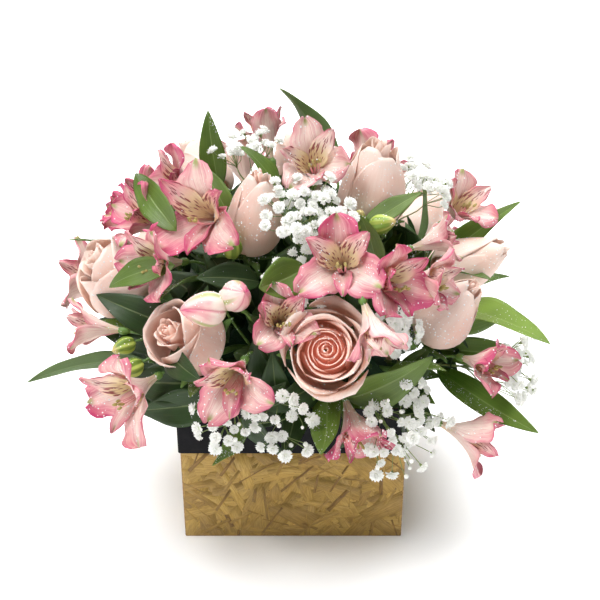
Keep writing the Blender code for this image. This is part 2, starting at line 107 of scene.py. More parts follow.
# Each alstroemeria stem: where its flower stalks part, its flowers (middle, facing, width, and how pink they
# are from 0 to 1) and its buds (middle, facing, length, and whether it is still green).
SPRIGS = {
    "alstroemeria_upper_left": (
        (-52, 52, 92),
        [
            ((-77, 60, 164), (-62, 30), 52, 0.75),
            ((-38, 56, 166), (-26, 22), 60, 0.7),
            ((-43, 42, 168), (-42, 14), 50, 0.3),
            ((-66, 49, 167), (-66, 34), 48, 0.65),
            ((-88, 44, 165), (-92, 30), 44, 0.8),
        ],
        [((-25, 53, 152), (-10, 70), 20, True)],
    ),
    "alstroemeria_lower_left": (
        (-48, 16, 100),
        [((-38, 14, 169), (-34, 0), 56, 0.3), ((-55, 23, 172), (-84, 10), 42, 0.35)],
        [((-44, 17, 156), (-44, -10), 18, True), ((-49, 21, 156), (-50, -6), 17, True)],
    ),
    "alstroemeria_centre": (
        (26, 46, 96),
        [
            ((15, 46, 168), (-8, 34), 54, 0.5),
            ((27, 40, 172), (38, 14), 50, 0.8),
            ((18, 31, 181), (24, -42), 42, 0.15),
        ],
        [((42, 56, 156), (70, 20), 19, True), ((34, 60, 152), (30, 60), 17, True)],
    ),
    "alstroemeria_right": (
        (48, 47, 100),
        [((54, 46, 165), (84, 22), 38, 0.2), ((39, 38, 170), (60, 10), 44, 0.5)],
        [],
    ),
    "alstroemeria_top_right": ((88, 50, 100), [((96, 43, 168), (44, 46), 50, 0.5)], []),
    "alstroemeria_top": (
        (0, 80, 96),
        [((15, 73, 172), (-4, 38), 50, 0.1), ((-150, 76, 168), (-150, 60), 44, 0.5)],
        [],
    ),
    "alstroemeria_lower_centre": (
        (-14, 24, 96),
        [((-13, 22, 166), (-14, -2), 50, 0.4), ((-3, 35, 153), (14, 34), 46, 0.4)],
        [((-22, 35, 172), (-60, 10), 30, False), ((-15, 39, 166), (30, 30), 27, False)],
    ),
    "alstroemeria_low_front": ((21, 10, 96), [((16, 8, 145), (20, -34), 48, 0.65)], []),
    "alstroemeria_low_right": (
        (47, 13, 104),
        [((49, 17, 170), (38, 12), 42, 0.4), ((43, 2, 167), (76, -16), 46, 0.45)],
        [],
    ),
    "alstroemeria_back_right": (
        (152, 44, 98),
        [((146, 48, 166), (146, 40), 56, 0.4), ((128, 16, 164), (124, 8), 54, 0.6)],
        [((158, 44, 166), (158, 44), 20, False)],
    ),
    "alstroemeria_back": (
        (-166, 36, 98),
        [((-178, 36, 166), (180, 30), 58, 0.5), ((-158, 46, 168), (-158, 50), 52, 0.25)],
        [((-170, 22, 158), (-170, 14), 20, True)],
    ),
    "alstroemeria_back_left": (
        (-100, 26, 100),
        [((-96, 20, 166), (-98, 14), 56, 0.35), ((-108, 44, 164), (-112, 40), 48, 0.7)],
        [],
    ),
    "alstroemeria_back_low": ((-176, 4, 96), [((176, 3, 150), (176, -20), 50, 0.6)], []),
}

# Each gypsophila spray: the middle of its cloud, the cloud's half width in millimetres, and how many florets.
SPRAYS = {
    "gypsophila_top_left": ((-74, 79, 170), 24, 28),
    "gypsophila_centre": ((7, 60, 167), 29, 62),
    "gypsophila_centre_low": ((2, 47, 146), 22, 22),
    "gypsophila_top_right": ((80, 57, 172), 23, 34),
    "gypsophila_low_left": ((-18, 9, 146), 20, 22),
    "gypsophila_low_centre": ((-2, 9, 142), 24, 22),
    "gypsophila_low_right": ((28, 6, 150), 33, 62),
    "gypsophila_right": ((29, 30, 156), 16, 28),
    "gypsophila_far_right": ((60, 11, 178), 25, 38),
    "gypsophila_back": ((-146, 32, 162), 34, 60),
}

# Each leaf: where its blade starts and ends, its width in millimetres, how far it bows off the straight line
# between them, and the turn of its face about that line in degrees.
LEAVES = {
    "leaf_top": ((136, 70, 138), (-165, 79, 201), 24, 12, 60),
    "leaf_top_left": ((-116, 64, 140), (-118, 69, 195), 19, 5, -55),
    "leaf_upper_left": ((-72, 52, 120), (-82, 53, 180), 20, 6, 30),
    "leaf_far_left": ((-60, 12, 120), (-62, 8, 202), 16, 9, 60),
    "leaf_left_inner": ((-50, 24, 108), (-62, 21, 168), 18, 5, 10),
    "leaf_left_curl": ((-40, 47, 116), (-34, 35, 174), 17, 8, 20),
    "leaf_front_left": ((-30, 15, 102), (-22, 17, 170), 18, 5, 10),
    "leaf_centre": ((-4, 44, 108), (-5, 42, 172), 19, -5, 10),
    "leaf_front_right": ((31, 13, 112), (37, 19, 168), 24, 8, 10),
    "leaf_low_front": ((12, 15, 112), (6, 7, 170), 20, -6, 20),
    "leaf_drape": ((-14, 5, 106), (-24, -9, 132), 24, -6, 5),
    "leaf_right_upper": ((108, 26, 118), (96, 35, 206), 21, 6, 50),
    "leaf_right": ((82, 23, 122), (51, 20, 216), 28, 8, 15),
    "leaf_low_right": ((61, 9, 118), (46, 6, 212), 20, -6, 25),
    "leaf_back_right": ((112, 16, 112), (106, 14, 186), 22, 6, 20),
    "leaf_back_left": ((-146, 16, 112), (-148, 14, 186), 22, -6, 20),
    "leaf_left_back": ((-104, 34, 122), (-84, 32, 190), 17, 5, 30),
}

# Leaves that stand between the flowers, as above with how light their green is at the end: low for the leaves
# that sit in shade, which is painted shade, and below 0.2 they take the shade-painted looks.
FILL_LEAVES = [
    ((-42, 29, 122), (-61, 29, 170), 24, 8, 0, 0.05),
    ((-44, 24, 114), (-68, 20, 160), 26, 6, 10, 0.1),
    ((-30, 15, 116), (-47, 13, 154), 30, 6, 0, 0.05),
    ((-26, 9, 114), (-43, 6, 150), 26, 6, 10, 0.15),
    ((-56, 30, 116), (-80, 28, 162), 24, 6, 10, 0.1),
    ((-42, 50, 170), (-77, 54, 187), 20, 8, 0, 0.35),
    ((-37, 43, 166), (-51, 33, 178), 17, 9, -10, 0.45),
    ((-34, 24, 150), (-19, 21, 174), 18, 5, 0, 0.15),
    ((16, 14, 130), (34, 23, 168), 26, 8, 5, 0.3),
    ((-12, 74, 146), (-50, 75, 178), 17, 5, 20, 0.4),
    ((-36, 62, 146), (-60, 66, 176), 15, 4, 10, 0.3),
    ((5, 48, 152), (-8, 40, 178), 25, -6, -15, 0.5),
    ((36, 58, 146), (60, 56, 176), 15, 4, 0, 0.4),
    ((34, 46, 140), (26, 56, 172), 14, 4, 0, 0.2),
    ((-14, 48, 130), (-30, 42, 160), 20, 4, 0, 0.1),
    ((66, 14, 118), (70, 10, 176), 20, 6, 20, 0.3),
    ((100, 40, 118), (112, 52, 168), 20, 6, 10, 0.3),
    ((82, 36, 118), (76, 28, 164), 20, 6, 10, 0.25),
    ((118, 22, 114), (128, 30, 166), 22, 6, 10, 0.35),
    ((88, 14, 116), (96, 10, 168), 22, 6, 10, 0.25),
    ((-88, 22, 116), (-98, 30, 172), 22, 6, 10, 0.2),
    ((150, 26, 116), (162, 36, 172), 22, 6, 10, 0.2),
    ((-160, 20, 114), (-172, 12, 168), 22, 6, 10, 0.3),
]

# How light the green of some blades is, from 0 to 1: these blades catch the light, so their light green is
# painted light. The others are dark, with painted shade.
LEAF_TONES = {
    "leaf_right": 1.0,
    "leaf_top": 0.6,
    "leaf_right_upper": 0.45,
    "leaf_low_front": 0.6,
    "leaf_centre": 0.45,
}


def aim(azimuth, elevation):
    """The unit vector of a direction given in degrees."""
    a, e = math.radians(azimuth), math.radians(elevation)
    return Vector((math.sin(a) * math.cos(e), -math.cos(a) * math.cos(e), math.sin(e)))


def place(azimuth, elevation, reach):
    """The point that far, in millimetres, from the heart of the foam."""
    return HEART + aim(azimuth, elevation) * reach * MM


def planted(spot):
    """The way a stem leaves the foam, its foot inside the foam, and a point where it is clear of it."""
    out = aim(spot[0], max(spot[1], LOWEST_STEM))
    return out, HEART + out * STEM_START * MM, HEART + out * STEM_CLEAR * MM


def bezier(p0, p1, p2, p3, steps):
    """Points along a cubic Bezier curve, both ends included."""
    t = np.linspace(0, 1, steps + 1)[:, None]
    s = 1 - t
    p0, p1, p2, p3 = (np.array(p, float) for p in (p0, p1, p2, p3))
    return p0 * s**3 + p1 * 3 * s * s * t + p2 * 3 * s * t * t + p3 * t**3


def smooth(x):
    """0 below 0, 1 above 1 and a soft step between."""
    x = np.clip(x, 0, 1)
    return x * x * (3 - 2 * x)


def frame_of(axis, up, spot):
    """A matrix whose +Z lies along an axis and whose +Y leans towards up, placed at a spot."""
    z = Vector(axis).normalized()
    y = Vector(up) - z * Vector(up).dot(z)
    if y.length < 1e-6:
        y = z.orthogonal()
    y.normalize()
    x = y.cross(z)
    made = Matrix((x, y, z)).transposed().to_4x4()
    made.translation = spot
    return made


def spans(rows, cols):
    """How far along and across the points of a grid lie: rows from 0 to 1, columns from -1 to 1."""
    return np.linspace(0, 1, rows)[:, None], np.linspace(-1, 1, cols)[None, :]


def grid_of(x, y, z):
    """A grid of points from their coordinates in millimetres."""
    return np.stack(np.broadcast_arrays(x, y, z), axis=2) * MM


def about_z(angle):
    """A turn about +Z, in radians."""
    return Matrix.Rotation(angle, 4, "Z")


def moved(points, matrix):
    """A list of points as an array, moved by a matrix."""
    return points @ np.array(matrix.to_3x3()).T + np.array(matrix.translation)


def outward_turn(foot, tip, out):
    """The turn, in degrees, that makes the face of a blade from foot to tip look outwards."""
    along = (tip - foot).normalized()
    level, wanted = along.cross(UP), along.cross(out)
    return math.degrees(math.atan2(level.cross(wanted).dot(along), level.dot(wanted)))


# ---- Meshes ----


def add_object(name, data):
    made = bpy.data.objects.new(name, data)
    bpy.context.scene.collection.objects.link(made)
    return made


class Shape:
    """The points, faces, UVs, tones and looks of one mesh, gathered piece by piece."""

    def __init__(self):
        self.points, self.faces, self.looks = [], [], []
        self.uvs, self.tones = [], []
        self.count = 0

    def add(self, points, uvs, tone, faces, looks):
        """Adds points with a UV and a tone each, and faces that index them from 0."""
        points = np.asarray(points, float).reshape(-1, 3)
        self.points.append(points)
        self.uvs.append(np.asarray(uvs, float).reshape(-1, 2))
        self.tones.append(np.broadcast_to(np.asarray(tone, float), (len(points),)))
        self.faces += [tuple(int(i) + self.count for i in face) for face in faces]
        self.looks += list(looks)
        self.count += len(points)

    def sheet(self, grid, thickness, tone=0.5, top=0, under=None):
        """A thin closed shell on both sides of a grid of points, rows along it and columns across it."""
        rows, cols = grid.shape[:2]
        along = np.gradient(grid, axis=0)
        across = np.gradient(grid, axis=1)
        normal = np.cross(across, along)
        normal /= np.maximum(np.linalg.norm(normal, axis=2, keepdims=True), 1e-12)
        both = np.concatenate([grid + normal * thickness / 2, grid - normal * thickness / 2])
        v, u = np.meshgrid(np.linspace(0, 1, rows), np.linspace(0, 1, cols), indexing="ij")
        uv = np.stack([u, v], axis=2).reshape(-1, 2)
        index = np.arange(rows * cols).reshape(rows, cols)
        a, b, c, d = index[:-1, :-1], index[:-1, 1:], index[1:, 1:], index[1:, :-1]
        upper = np.stack([a, b, c, d], axis=2).reshape(-1, 4)
        lower = upper[:, ::-1] + rows * cols
        rim = np.concatenate([index[0, :-1], index[:-1, -1], index[-1, :0:-1], index[:0:-1, 0]])
        after = np.roll(rim, -1)
        edge = np.stack([rim, rim + rows * cols, after + rows * cols, after], axis=1)
        under = top if under is None else under
        faces = np.concatenate([upper, lower, edge])
        looks = [top] * len(upper) + [under] * len(lower) + [top] * len(edge)
        self.add(both, np.concatenate([uv, uv]), tone, faces, looks)

    def tube(self, line, radii, sides=6, tone=0.5, look=0):
        """A closed tube along a line of points, with a radius for each in millimetres."""
        line = np.asarray(line, float)
        radii = np.broadcast_to(np.asarray(radii, float) * MM, (len(line),))
        ahead = np.gradient(line, axis=0)
        ahead /= np.maximum(np.linalg.norm(ahead, axis=1, keepdims=True), 1e-12)
        side = np.array(Vector(ahead[0]).orthogonal().normalized())
        rings = []
        turns = np.linspace(0, 2 * math.pi, sides, endpoint=False)
        for point, way, radius in zip(line, ahead, radii):
            side = side - way * side.dot(way)
            side /= np.linalg.norm(side)
            other = np.cross(way, side)
            rings.append(point + radius * (np.cos(turns)[:, None] * side + np.sin(turns)[:, None] * other))
        rows = len(line)
        index = np.arange(rows * sides).reshape(rows, sides)
        nxt = np.roll(index, -1, axis=1)
        wall = np.stack([index[:-1], nxt[:-1], nxt[1:], index[1:]], axis=2).reshape(-1, 4)
        faces = [tuple(f) for f in wall] + [tuple(index[0][::-1]), tuple(index[-1])]
        uv = np.stack(np.meshgrid(np.linspace(0, 1, rows), turns / 6.3, indexing="ij")[::-1], axis=2)
        self.add(np.concatenate(rings), uv.reshape(-1, 2), tone, faces, [look] * len(faces))

    def place_copy(self, other, matrix):
        """Adds another shape's points and faces, moved by a matrix."""
        points, uvs, tones = other.arrays()
        self.add(moved(points, matrix), uvs, tones, other.faces, other.looks)

    def arrays(self):
        return np.concatenate(self.points), np.concatenate(self.uvs), np.concatenate(self.tones)

    def build(self, name, looks, replaces=()):
        """Makes the piece: smooth shaded, riding on the root and standing for the CAD nodes it replaces."""
        points, uvs, tones = self.arrays()
        mesh = bpy.data.meshes.new(name)
        mesh.from_pydata(points.tolist(), [], self.faces)
        mesh.polygons.foreach_set("material_index", self.looks)
        corners = np.zeros(len(mesh.loops), int)
        mesh.loops.foreach_get("vertex_index", corners)
        layer = mesh.uv_layers.new(name="surface")
        layer.data.foreach_set("uv", uvs[corners].ravel().astype(np.float32))
        tone = mesh.attributes.new("tone", "FLOAT", "POINT")
        tone.data.foreach_set("value", tones.astype(np.float32))
        mesh.shade_smooth()
        for look in looks.split():
            mesh.materials.append(LOOKS[look])
        made = add_object(name, mesh)
        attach(made, "root")
        if replaces:
            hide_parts(*replaces)
        return made


# ---- Materials ----


class Look:
    """A material under construction, with short calls for the nodes it is made of."""

    def __init__(self, name):
        self.material = bpy.data.materials.new(name)
        self.material.use_nodes = True
        self.nodes = self.material.node_tree.nodes
        self.links = self.material.node_tree.links
        self.shader = self.nodes["Principled BSDF"]
        self.output = self.nodes["Material Output"]
        uv = self.nodes.new("ShaderNodeUVMap")
        uv.uv_map = "surface"
        self.uv = uv.outputs["UV"]
        split = self.nodes.new("ShaderNodeSeparateXYZ")
        self.link(self.uv, split.inputs[0])
        self.u, self.v = split.outputs["X"], split.outputs["Y"]

    def link(self, source, target):
        """Connects a socket, or sets a plain value; colours are (red, green, blue)."""
        if isinstance(source, bpy.types.NodeSocket):
            self.links.new(source, target)
        else:
            target.default_value = (*source, 1.0) if isinstance(source, tuple) else source

    def attribute(self, name):
        node = self.nodes.new("ShaderNodeAttribute")
        node.attribute_name = name
        return node.outputs["Fac"]

    def position(self):
        return self.nodes.new("ShaderNodeTexCoord").outputs["Object"]

    def texture(self, kind, vector, output, **values):
        """An output of a new node that reads a vector, with plain values for its other inputs."""
        node = self.nodes.new("ShaderNode" + kind)
        self.link(vector, node.inputs["Vector"])
        for name, value in values.items():
            node.inputs[name].default_value = value
        return node.outputs[output]

    def scaled(self, vector, scale):
        return self.texture("Mapping", vector, "Vector", Scale=scale)

    def noise(self, vector, scale, detail=3.0, roughness=0.5):
        return self.texture("TexNoise", vector, "Fac", Scale=scale, Detail=detail, Roughness=roughness)

    def voronoi(self, vector, scale, output="Distance", randomness=1.0):
        return self.texture("TexVoronoi", vector, output, Scale=scale, Randomness=randomness)

    def math(self, operation, a, b=0.0):
        node = self.nodes.new("ShaderNodeMath")
        node.operation = operation
        self.link(a, node.inputs[0])
        self.link(b, node.inputs[1])
        return node.outputs[0]

    def times(self, a, b):
        return self.math("MULTIPLY", a, b)

    def plus(self, a, b):
        return self.math("ADD", a, b)

    def beside_rib(self):
        """The distance from the line down the middle of a petal or leaf, from 0 to 0.5."""
        return self.math("ABSOLUTE", self.math("SUBTRACT", self.u, 0.5))

    def set(self, **values):
        """Sets or connects inputs of the shader, such as Sheen_Weight=0.1."""
        for name, value in values.items():
            self.link(value, self.shader.inputs[name.replace("_", " ")])

    def step(self, value, low, high):
        """0 below low, 1 above high (or the other way round), smooth between."""
        node = self.nodes.new("ShaderNodeMapRange")
        node.interpolation_type = "SMOOTHSTEP"
        self.link(value, node.inputs["Value"])
        ends = (low, high, 0.0, 1.0) if low <= high else (high, low, 1.0, 0.0)
        for name, end in zip(("From Min", "From Max", "To Min", "To Max"), ends):
            node.inputs[name].default_value = end
        return node.outputs["Result"]

    def mix(self, share, a, b, kind="MIX"):
        node = self.nodes.new("ShaderNodeMix")
        node.data_type = "RGBA"
        node.blend_type = kind
        self.link(share, node.inputs["Factor"])
        sockets = [s for s in node.inputs if s.type == "RGBA"]
        self.link(a, sockets[0])
        self.link(b, sockets[1])
        return [s for s in node.outputs if s.type == "RGBA"][0]

    def paint(self, body, share, amount, colour):
        """Lays a colour over the body, by a share times an amount."""
        return self.mix(self.times(share, amount), body, colour)

    def bump(self, height, distance, strength=1.0):
        node = self.nodes.new("ShaderNodeBump")
        node.inputs["Strength"].default_value = strength
        node.inputs["Distance"].default_value = distance
        self.link(height, node.inputs["Height"])
        self.set(Normal=node.outputs["Normal"])

    def finish(self, colour, roughness, translucency=0.0, glow=None):
        """Connects the colour and roughness, and lets some light through a thin sheet."""
        self.set(Base_Color=colour, Roughness=roughness)
        if translucency:
            through = self.nodes.new("ShaderNodeBsdfTranslucent")
            self.link(glow or colour, through.inputs["Color"])
            blend = self.nodes.new("ShaderNodeMixShader")
            blend.inputs[0].default_value = translucency
            self.links.new(self.shader.outputs[0], blend.inputs[1])
            self.links.new(through.outputs[0], blend.inputs[2])
            self.links.new(blend.outputs[0], self.output.inputs["Surface"])
        return self.material


def veins(look, across, along, detail=4.0, roughness=0.6):
    """Fine lines that run from the base of a petal or leaf to its tip."""
    return look.noise(look.scaled(look.uv, (across, along, 1)), 1.0, detail, roughness)


def rose_material():
    """Peach pink, paler towards the rim of outer petals, coral deep inside, faintly green at the foot.

    The tone runs from 0 on the outermost petal to the flower's depth of colour on the innermost.
    """
    look = Look("rose_petal")
    tone = look.attribute("tone")
    clouds = look.noise(look.position(), 45.0, 2.0)
    pale = look.mix(look.step(clouds, 0.35, 0.65), (0.96, 0.72, 0.61), (0.97, 0.80, 0.71))
    deep = look.mix(look.step(tone, 0.3, 0.9), (0.98, 0.66, 0.54), (0.98, 0.53, 0.41))
    body = look.mix(look.step(tone, 0.05, 0.6), pale, deep)
    rim = look.step(look.v, 0.74, 0.97)
    body = look.paint(body, rim, 0.7, (0.98, 0.87, 0.79))
    foot = look.step(look.v, 0.25, 0.02)
    body = look.paint(body, foot, 0.5, (0.85, 0.76, 0.48))
    lines = veins(look, 46.0, 2.2)
    body = look.paint(body, look.step(lines, 0.45, 0.7), 0.16, (0.88, 0.45, 0.36))
    look.bump(lines, 0.0004, 0.5)
    # The inner petals glow faintly in warm coral, more the deeper their tone: painted light that brightens the
    # crevices of the heart.
    look.set(Sheen_Weight=0.15, Sheen_Roughness=0.4, Emission_Color=(1.0, 0.50, 0.36))
    look.set(Emission_Strength=look.times(look.step(tone, 0.2, 0.8), 0.08))
    return look.finish(body, 0.5, 0.26, look.mix(0.35, body, (1.0, 0.55, 0.38)))


def tepal_body(look, tone):
    """The colours all tepals share: cream pink, rose pink in streaks, and magenta along margins and tips."""
    side = look.beside_rib()
    streaks = veins(look, 13.0, 1.5, 4.0, 0.65)
    clouds = look.noise(look.position(), 75.0, 2.0)
    rise = look.plus(look.times(look.v, 0.55), look.times(side, 0.75))
    drift = look.plus(look.times(streaks, 0.75), look.times(clouds, 0.7))
    level = look.plus(look.plus(rise, drift), look.times(tone, 0.45))
    body = look.mix(look.step(level, 1.24, 1.76), (0.95, 0.80, 0.71), (0.82, 0.36, 0.39))
    body = look.mix(look.step(level, 1.6, 2.0), body, (0.64, 0.07, 0.20))
    return body, side, streaks


def tepal_veins(look, body, streaks, across, low, high, amount, colour):
    """Lays fine veins over a tepal and raises them."""
    lines = veins(look, across, 1.6)
    look.bump(look.plus(lines, look.times(streaks, 0.6)), 0.0006, 0.8)
    return look.paint(body, look.step(lines, low, high), amount, colour)


def lily_material():
    """Outer alstroemeria tepals, with a green point at the tip and a greenish foot."""
    look = Look("alstroemeria_outer")
    body, side, streaks = tepal_body(look, look.attribute("tone"))
    foot = look.step(look.v, 0.34, 0.04)
    body = look.paint(body, foot, 0.8, (0.78, 0.66, 0.40))
    point = look.times(look.step(look.v, 0.85, 0.97), look.step(side, 0.17, 0.04))
    body = look.paint(body, point, 0.9, (0.30, 0.42, 0.08))
    body = tepal_veins(look, body, streaks, 34.0, 0.5, 0.64, 0.5, (0.62, 0.11, 0.20))
    look.set(Sheen_Weight=0.1)
    return look.finish(body, 0.42, 0.22, look.mix(0.5, body, (0.85, 0.25, 0.30)))


def streaked_material():
    """Inner tepals: a cream patch with dark red dashes along the veins."""
    look = Look("alstroemeria_inner")
    body, _, streaks = tepal_body(look, look.attribute("tone"))
    patch = look.times(look.step(look.v, 0.06, 0.3), look.step(look.v, 0.8, 0.48))
    body = look.paint(body, patch, 0.9, (0.98, 0.86, 0.50))
    dashes = look.voronoi(look.scaled(look.uv, (10.0, 6.5, 1)), 1.0, randomness=0.85)
    field = look.times(look.step(look.v, 0.2, 0.36), look.step(look.v, 0.92, 0.8))
    long_marks = look.voronoi(look.scaled(look.uv, (9.0, 2.6, 1)), 1.0, randomness=0.9)
    outer_field = look.times(look.step(look.v, 0.45, 0.58), look.step(look.v, 0.96, 0.84))
    marks = look.times(look.step(dashes, 0.42, 0.26), field)
    marks = look.math("MAXIMUM", marks, look.times(look.step(long_marks, 0.38, 0.24), outer_field))
    body = look.paint(body, marks, 0.9, (0.30, 0.015, 0.04))
    body = tepal_veins(look, body, streaks, 30.0, 0.52, 0.68, 0.3, (0.66, 0.14, 0.22))
    return look.finish(body, 0.42, 0.22)


def pink_bud_material():
    """A closed bud about to open: pale pink, a green stripe down each segment and pink along the seams."""
    look = Look("pink_bud")
    body, _, streaks = tepal_body(look, look.attribute("tone"))
    third = look.math("FRACT", look.times(look.u, 3.0))
    middle = look.math("ABSOLUTE", look.math("SUBTRACT", third, 0.5))
    stripe = look.times(look.step(middle, 0.13, 0.03), look.step(look.v, 0.98, 0.6))
    body = look.paint(body, stripe, 0.8, (0.36, 0.45, 0.12))
    body = look.paint(body, look.step(middle, 0.42, 0.5), 0.6, (0.66, 0.10, 0.20))
    body = look.mix(look.step(look.v, 0.2, 0.0), body, (0.40, 0.46, 0.14))
    look.bump(streaks, 0.0006, 0.8)
    return look.finish(body, 0.42, 0.15)


def floret_material():
    look = Look("gypsophila_petal")
    tint = look.mix(look.noise(look.position(), 300.0, 2.0), (0.90, 0.91, 0.87), (0.96, 0.96, 0.94))
    body = look.mix(look.step(look.v, 0.4, 0.0), tint, (0.72, 0.80, 0.50))
    # Every floret glows faintly white: painted light that keeps the florets bright where they are in shade.
    look.set(Emission_Color=(1.0, 1.0, 0.97), Emission_Strength=0.11)
    return look.finish(body, 0.6, 0.25)


def stem_material(name, light, dark):
    look = Look(name)
    body = look.mix(look.noise(look.position(), 180.0, 3.0), light, dark)
    ribs = veins(look, 16.0, 1.0, 2.0, 0.5)
    look.bump(ribs, 0.0003, 0.5)
    return look.finish(body, 0.5)


def leaf_material(name, light, dark, shine, glow):
    """Parallel veins beside a paler midrib, with clouds of lighter and darker green."""
    look = Look(name)
    tone = look.attribute("tone")
    clouds = look.noise(look.position(), 45.0, 3.0)
    body = look.mix(look.plus(look.times(clouds, 0.5), look.times(tone, 0.5)), dark, light)
    lines = veins(look, 40.0, 1.2, 3.0)
    body = look.paint(body, look.step(lines, 0.48, 0.66), 0.3, light)
    side = look.beside_rib()
    rib = look.step(side, 0.035, 0.008)
    pale = look.mix(0.5, light, (0.45, 0.55, 0.25))
    body = look.paint(body, rib, 0.55, pale)
    height = look.math("SUBTRACT", lines, look.times(rib, 0.8))
    look.bump(height, 0.0006, 0.6)
    return look.finish(body, shine, 0.22, glow)


def bud_material():
    look = Look("green_bud")
    ribs = look.math("SINE", look.times(look.u, 6 * 2 * math.pi))
    body = look.mix(look.step(ribs, -0.6, 0.8), (0.16, 0.26, 0.03), (0.42, 0.52, 0.10))
    body = look.mix(look.step(look.v, 0.75, 1.0), body, (0.62, 0.50, 0.20))
    return look.finish(body, 0.45)


def water_material():
    look = Look("water")
    # The drops are near white and glow faintly: painted highlight that stands for the glints on clear water.
    look.set(Transmission_Weight=0.12, IOR=1.33, Emission_Color=(1.0, 1.0, 1.0), Emission_Strength=0.13)
    tint = look.mix(look.noise(look.position(), 200.0), (0.94, 0.95, 0.96), (0.98, 0.99, 1.0))
    return look.finish(tint, 0.06)


def board_material():
    """Oriented-strand board where no strands are laid on it: pressed chips and their ends."""
    look = Look("strand_board")
    spot = look.position()
    chips = look.voronoi(look.scaled(spot, (90, 90, 420)), 1.0, "Color")
    grain = look.noise(look.scaled(spot, (120, 120, 1400)), 1.0, 4.0, 0.65)
    body = look.mix(chips, (0.38, 0.21, 0.07), (0.66, 0.43, 0.19))
    body = look.mix(look.step(grain, 0.35, 0.7), body, (0.20, 0.10, 0.03), "MULTIPLY")
    look.bump(grain, 0.0005, 0.7)
    return look.finish(body, 0.6)


def strand_material():
    """One wood strand: its own tone, grain along it, a few dark flecks."""
    look = Look("wood_strand")
    tone = look.attribute("tone")
    seed = look.times(tone, 173.0)
    spot = look.nodes.new("ShaderNodeCombineXYZ")
    look.links.new(look.times(look.u, 0.6), spot.inputs["X"])
    look.links.new(look.times(look.v, 4.6), spot.inputs["Y"])
    look.links.new(seed, spot.inputs["Z"])
    grain = look.noise(spot.outputs[0], 2.2, 5.0, 0.62)
    fine = look.noise(look.scaled(spot.outputs[0], (1.0, 5.0, 1)), 3.0, 3.0, 0.6)
    light = look.mix(tone, (0.24, 0.12, 0.020), (0.60, 0.39, 0.092))
    dark = look.mix(tone, (0.13, 0.06, 0.012), (0.47, 0.285, 0.056))
    body = look.mix(look.step(grain, 0.38, 0.6), dark, light)
    body = look.paint(body, look.step(fine, 0.52, 0.7), 0.45, (0.22, 0.11, 0.028))
    fleck = look.step(look.noise(look.position(), 520.0, 1.0), 0.72, 0.78)
    body = look.paint(body, fleck, 0.7, (0.10, 0.05, 0.02))
    look.bump(fine, 0.0004, 0.6)
    look.set(Coat_Weight=0.08)
    return look.finish(body, 0.52)


def felt_material():
    look = Look("black_band")
    spot = look.position()
    fuzz = look.noise(spot, 1500.0, 3.0, 0.7)
    clouds = look.noise(spot, 120.0, 2.0)
    body = look.mix(fuzz, (0.003, 0.003, 0.004), (0.012, 0.012, 0.014))
    body = look.paint(body, look.step(clouds, 0.45, 0.75), 0.3, (0.018, 0.018, 0.021))
    look.bump(fuzz, 0.0005, 0.8)
    look.set(Specular_IOR_Level=0.25)
    return look.finish(body, 0.9)


def grainy_material(name, scale, detail, roughness, dark, light, height, strength, shine):
    """A dark, matt surface with a fine, even grain."""
    look = Look(name)
    grain = look.noise(look.position(), scale, detail, roughness)
    look.bump(grain, height, strength)
    return look.finish(look.mix(grain, dark, light), shine)


# ---- Roses ----


def rose_petal(belly, lip, height, half_turn, roll, pitch, taper, dip):
    """One rose petal about +Z: an egg-shaped cup up to its lip, with a rolled rim."""
    v, s = spans(17, 17)
    inner = np.sqrt(np.clip(1 - (1 - v / PETAL_CUP) ** 2, 0, 1))
    upper = np.clip((v - PETAL_CUP) / (1 - PETAL_CUP), 0, 1)
    radius = np.where(v < PETAL_CUP, belly * inner, belly + (lip - belly) * upper**1.7) + 0 * s
    span = half_turn * (0.35 + 0.65 * smooth(v / 0.5)) * (1 - taper * upper**1.6) + 0 * s
    span = span * np.sqrt(np.clip(1 - 0.72 * v**7, 0.05, 1))
    curl = np.clip((v - 0.78) / 0.22, 0, 1) ** 2
    edge = np.clip((np.abs(s) - 0.6) / 0.4, 0, 1) ** 2 * smooth(v / 0.6)
    radius = radius + roll * curl * (1.15 - 0.4 * s**2) + min(0.8 + 0.3 * roll, 0.05 * belly) * edge
    radius = np.maximum(radius, 0.3) * (1 + pitch * s * (0.3 + 0.7 * upper))
    tall = height * (v - dip * np.abs(s) ** 2.5 * v**3) - 0.5 * roll * curl * (0.55 + 0.45 * s**2)
    turn = s * span
    return grid_of(radius * np.cos(turn), radius * np.sin(turn), tall)


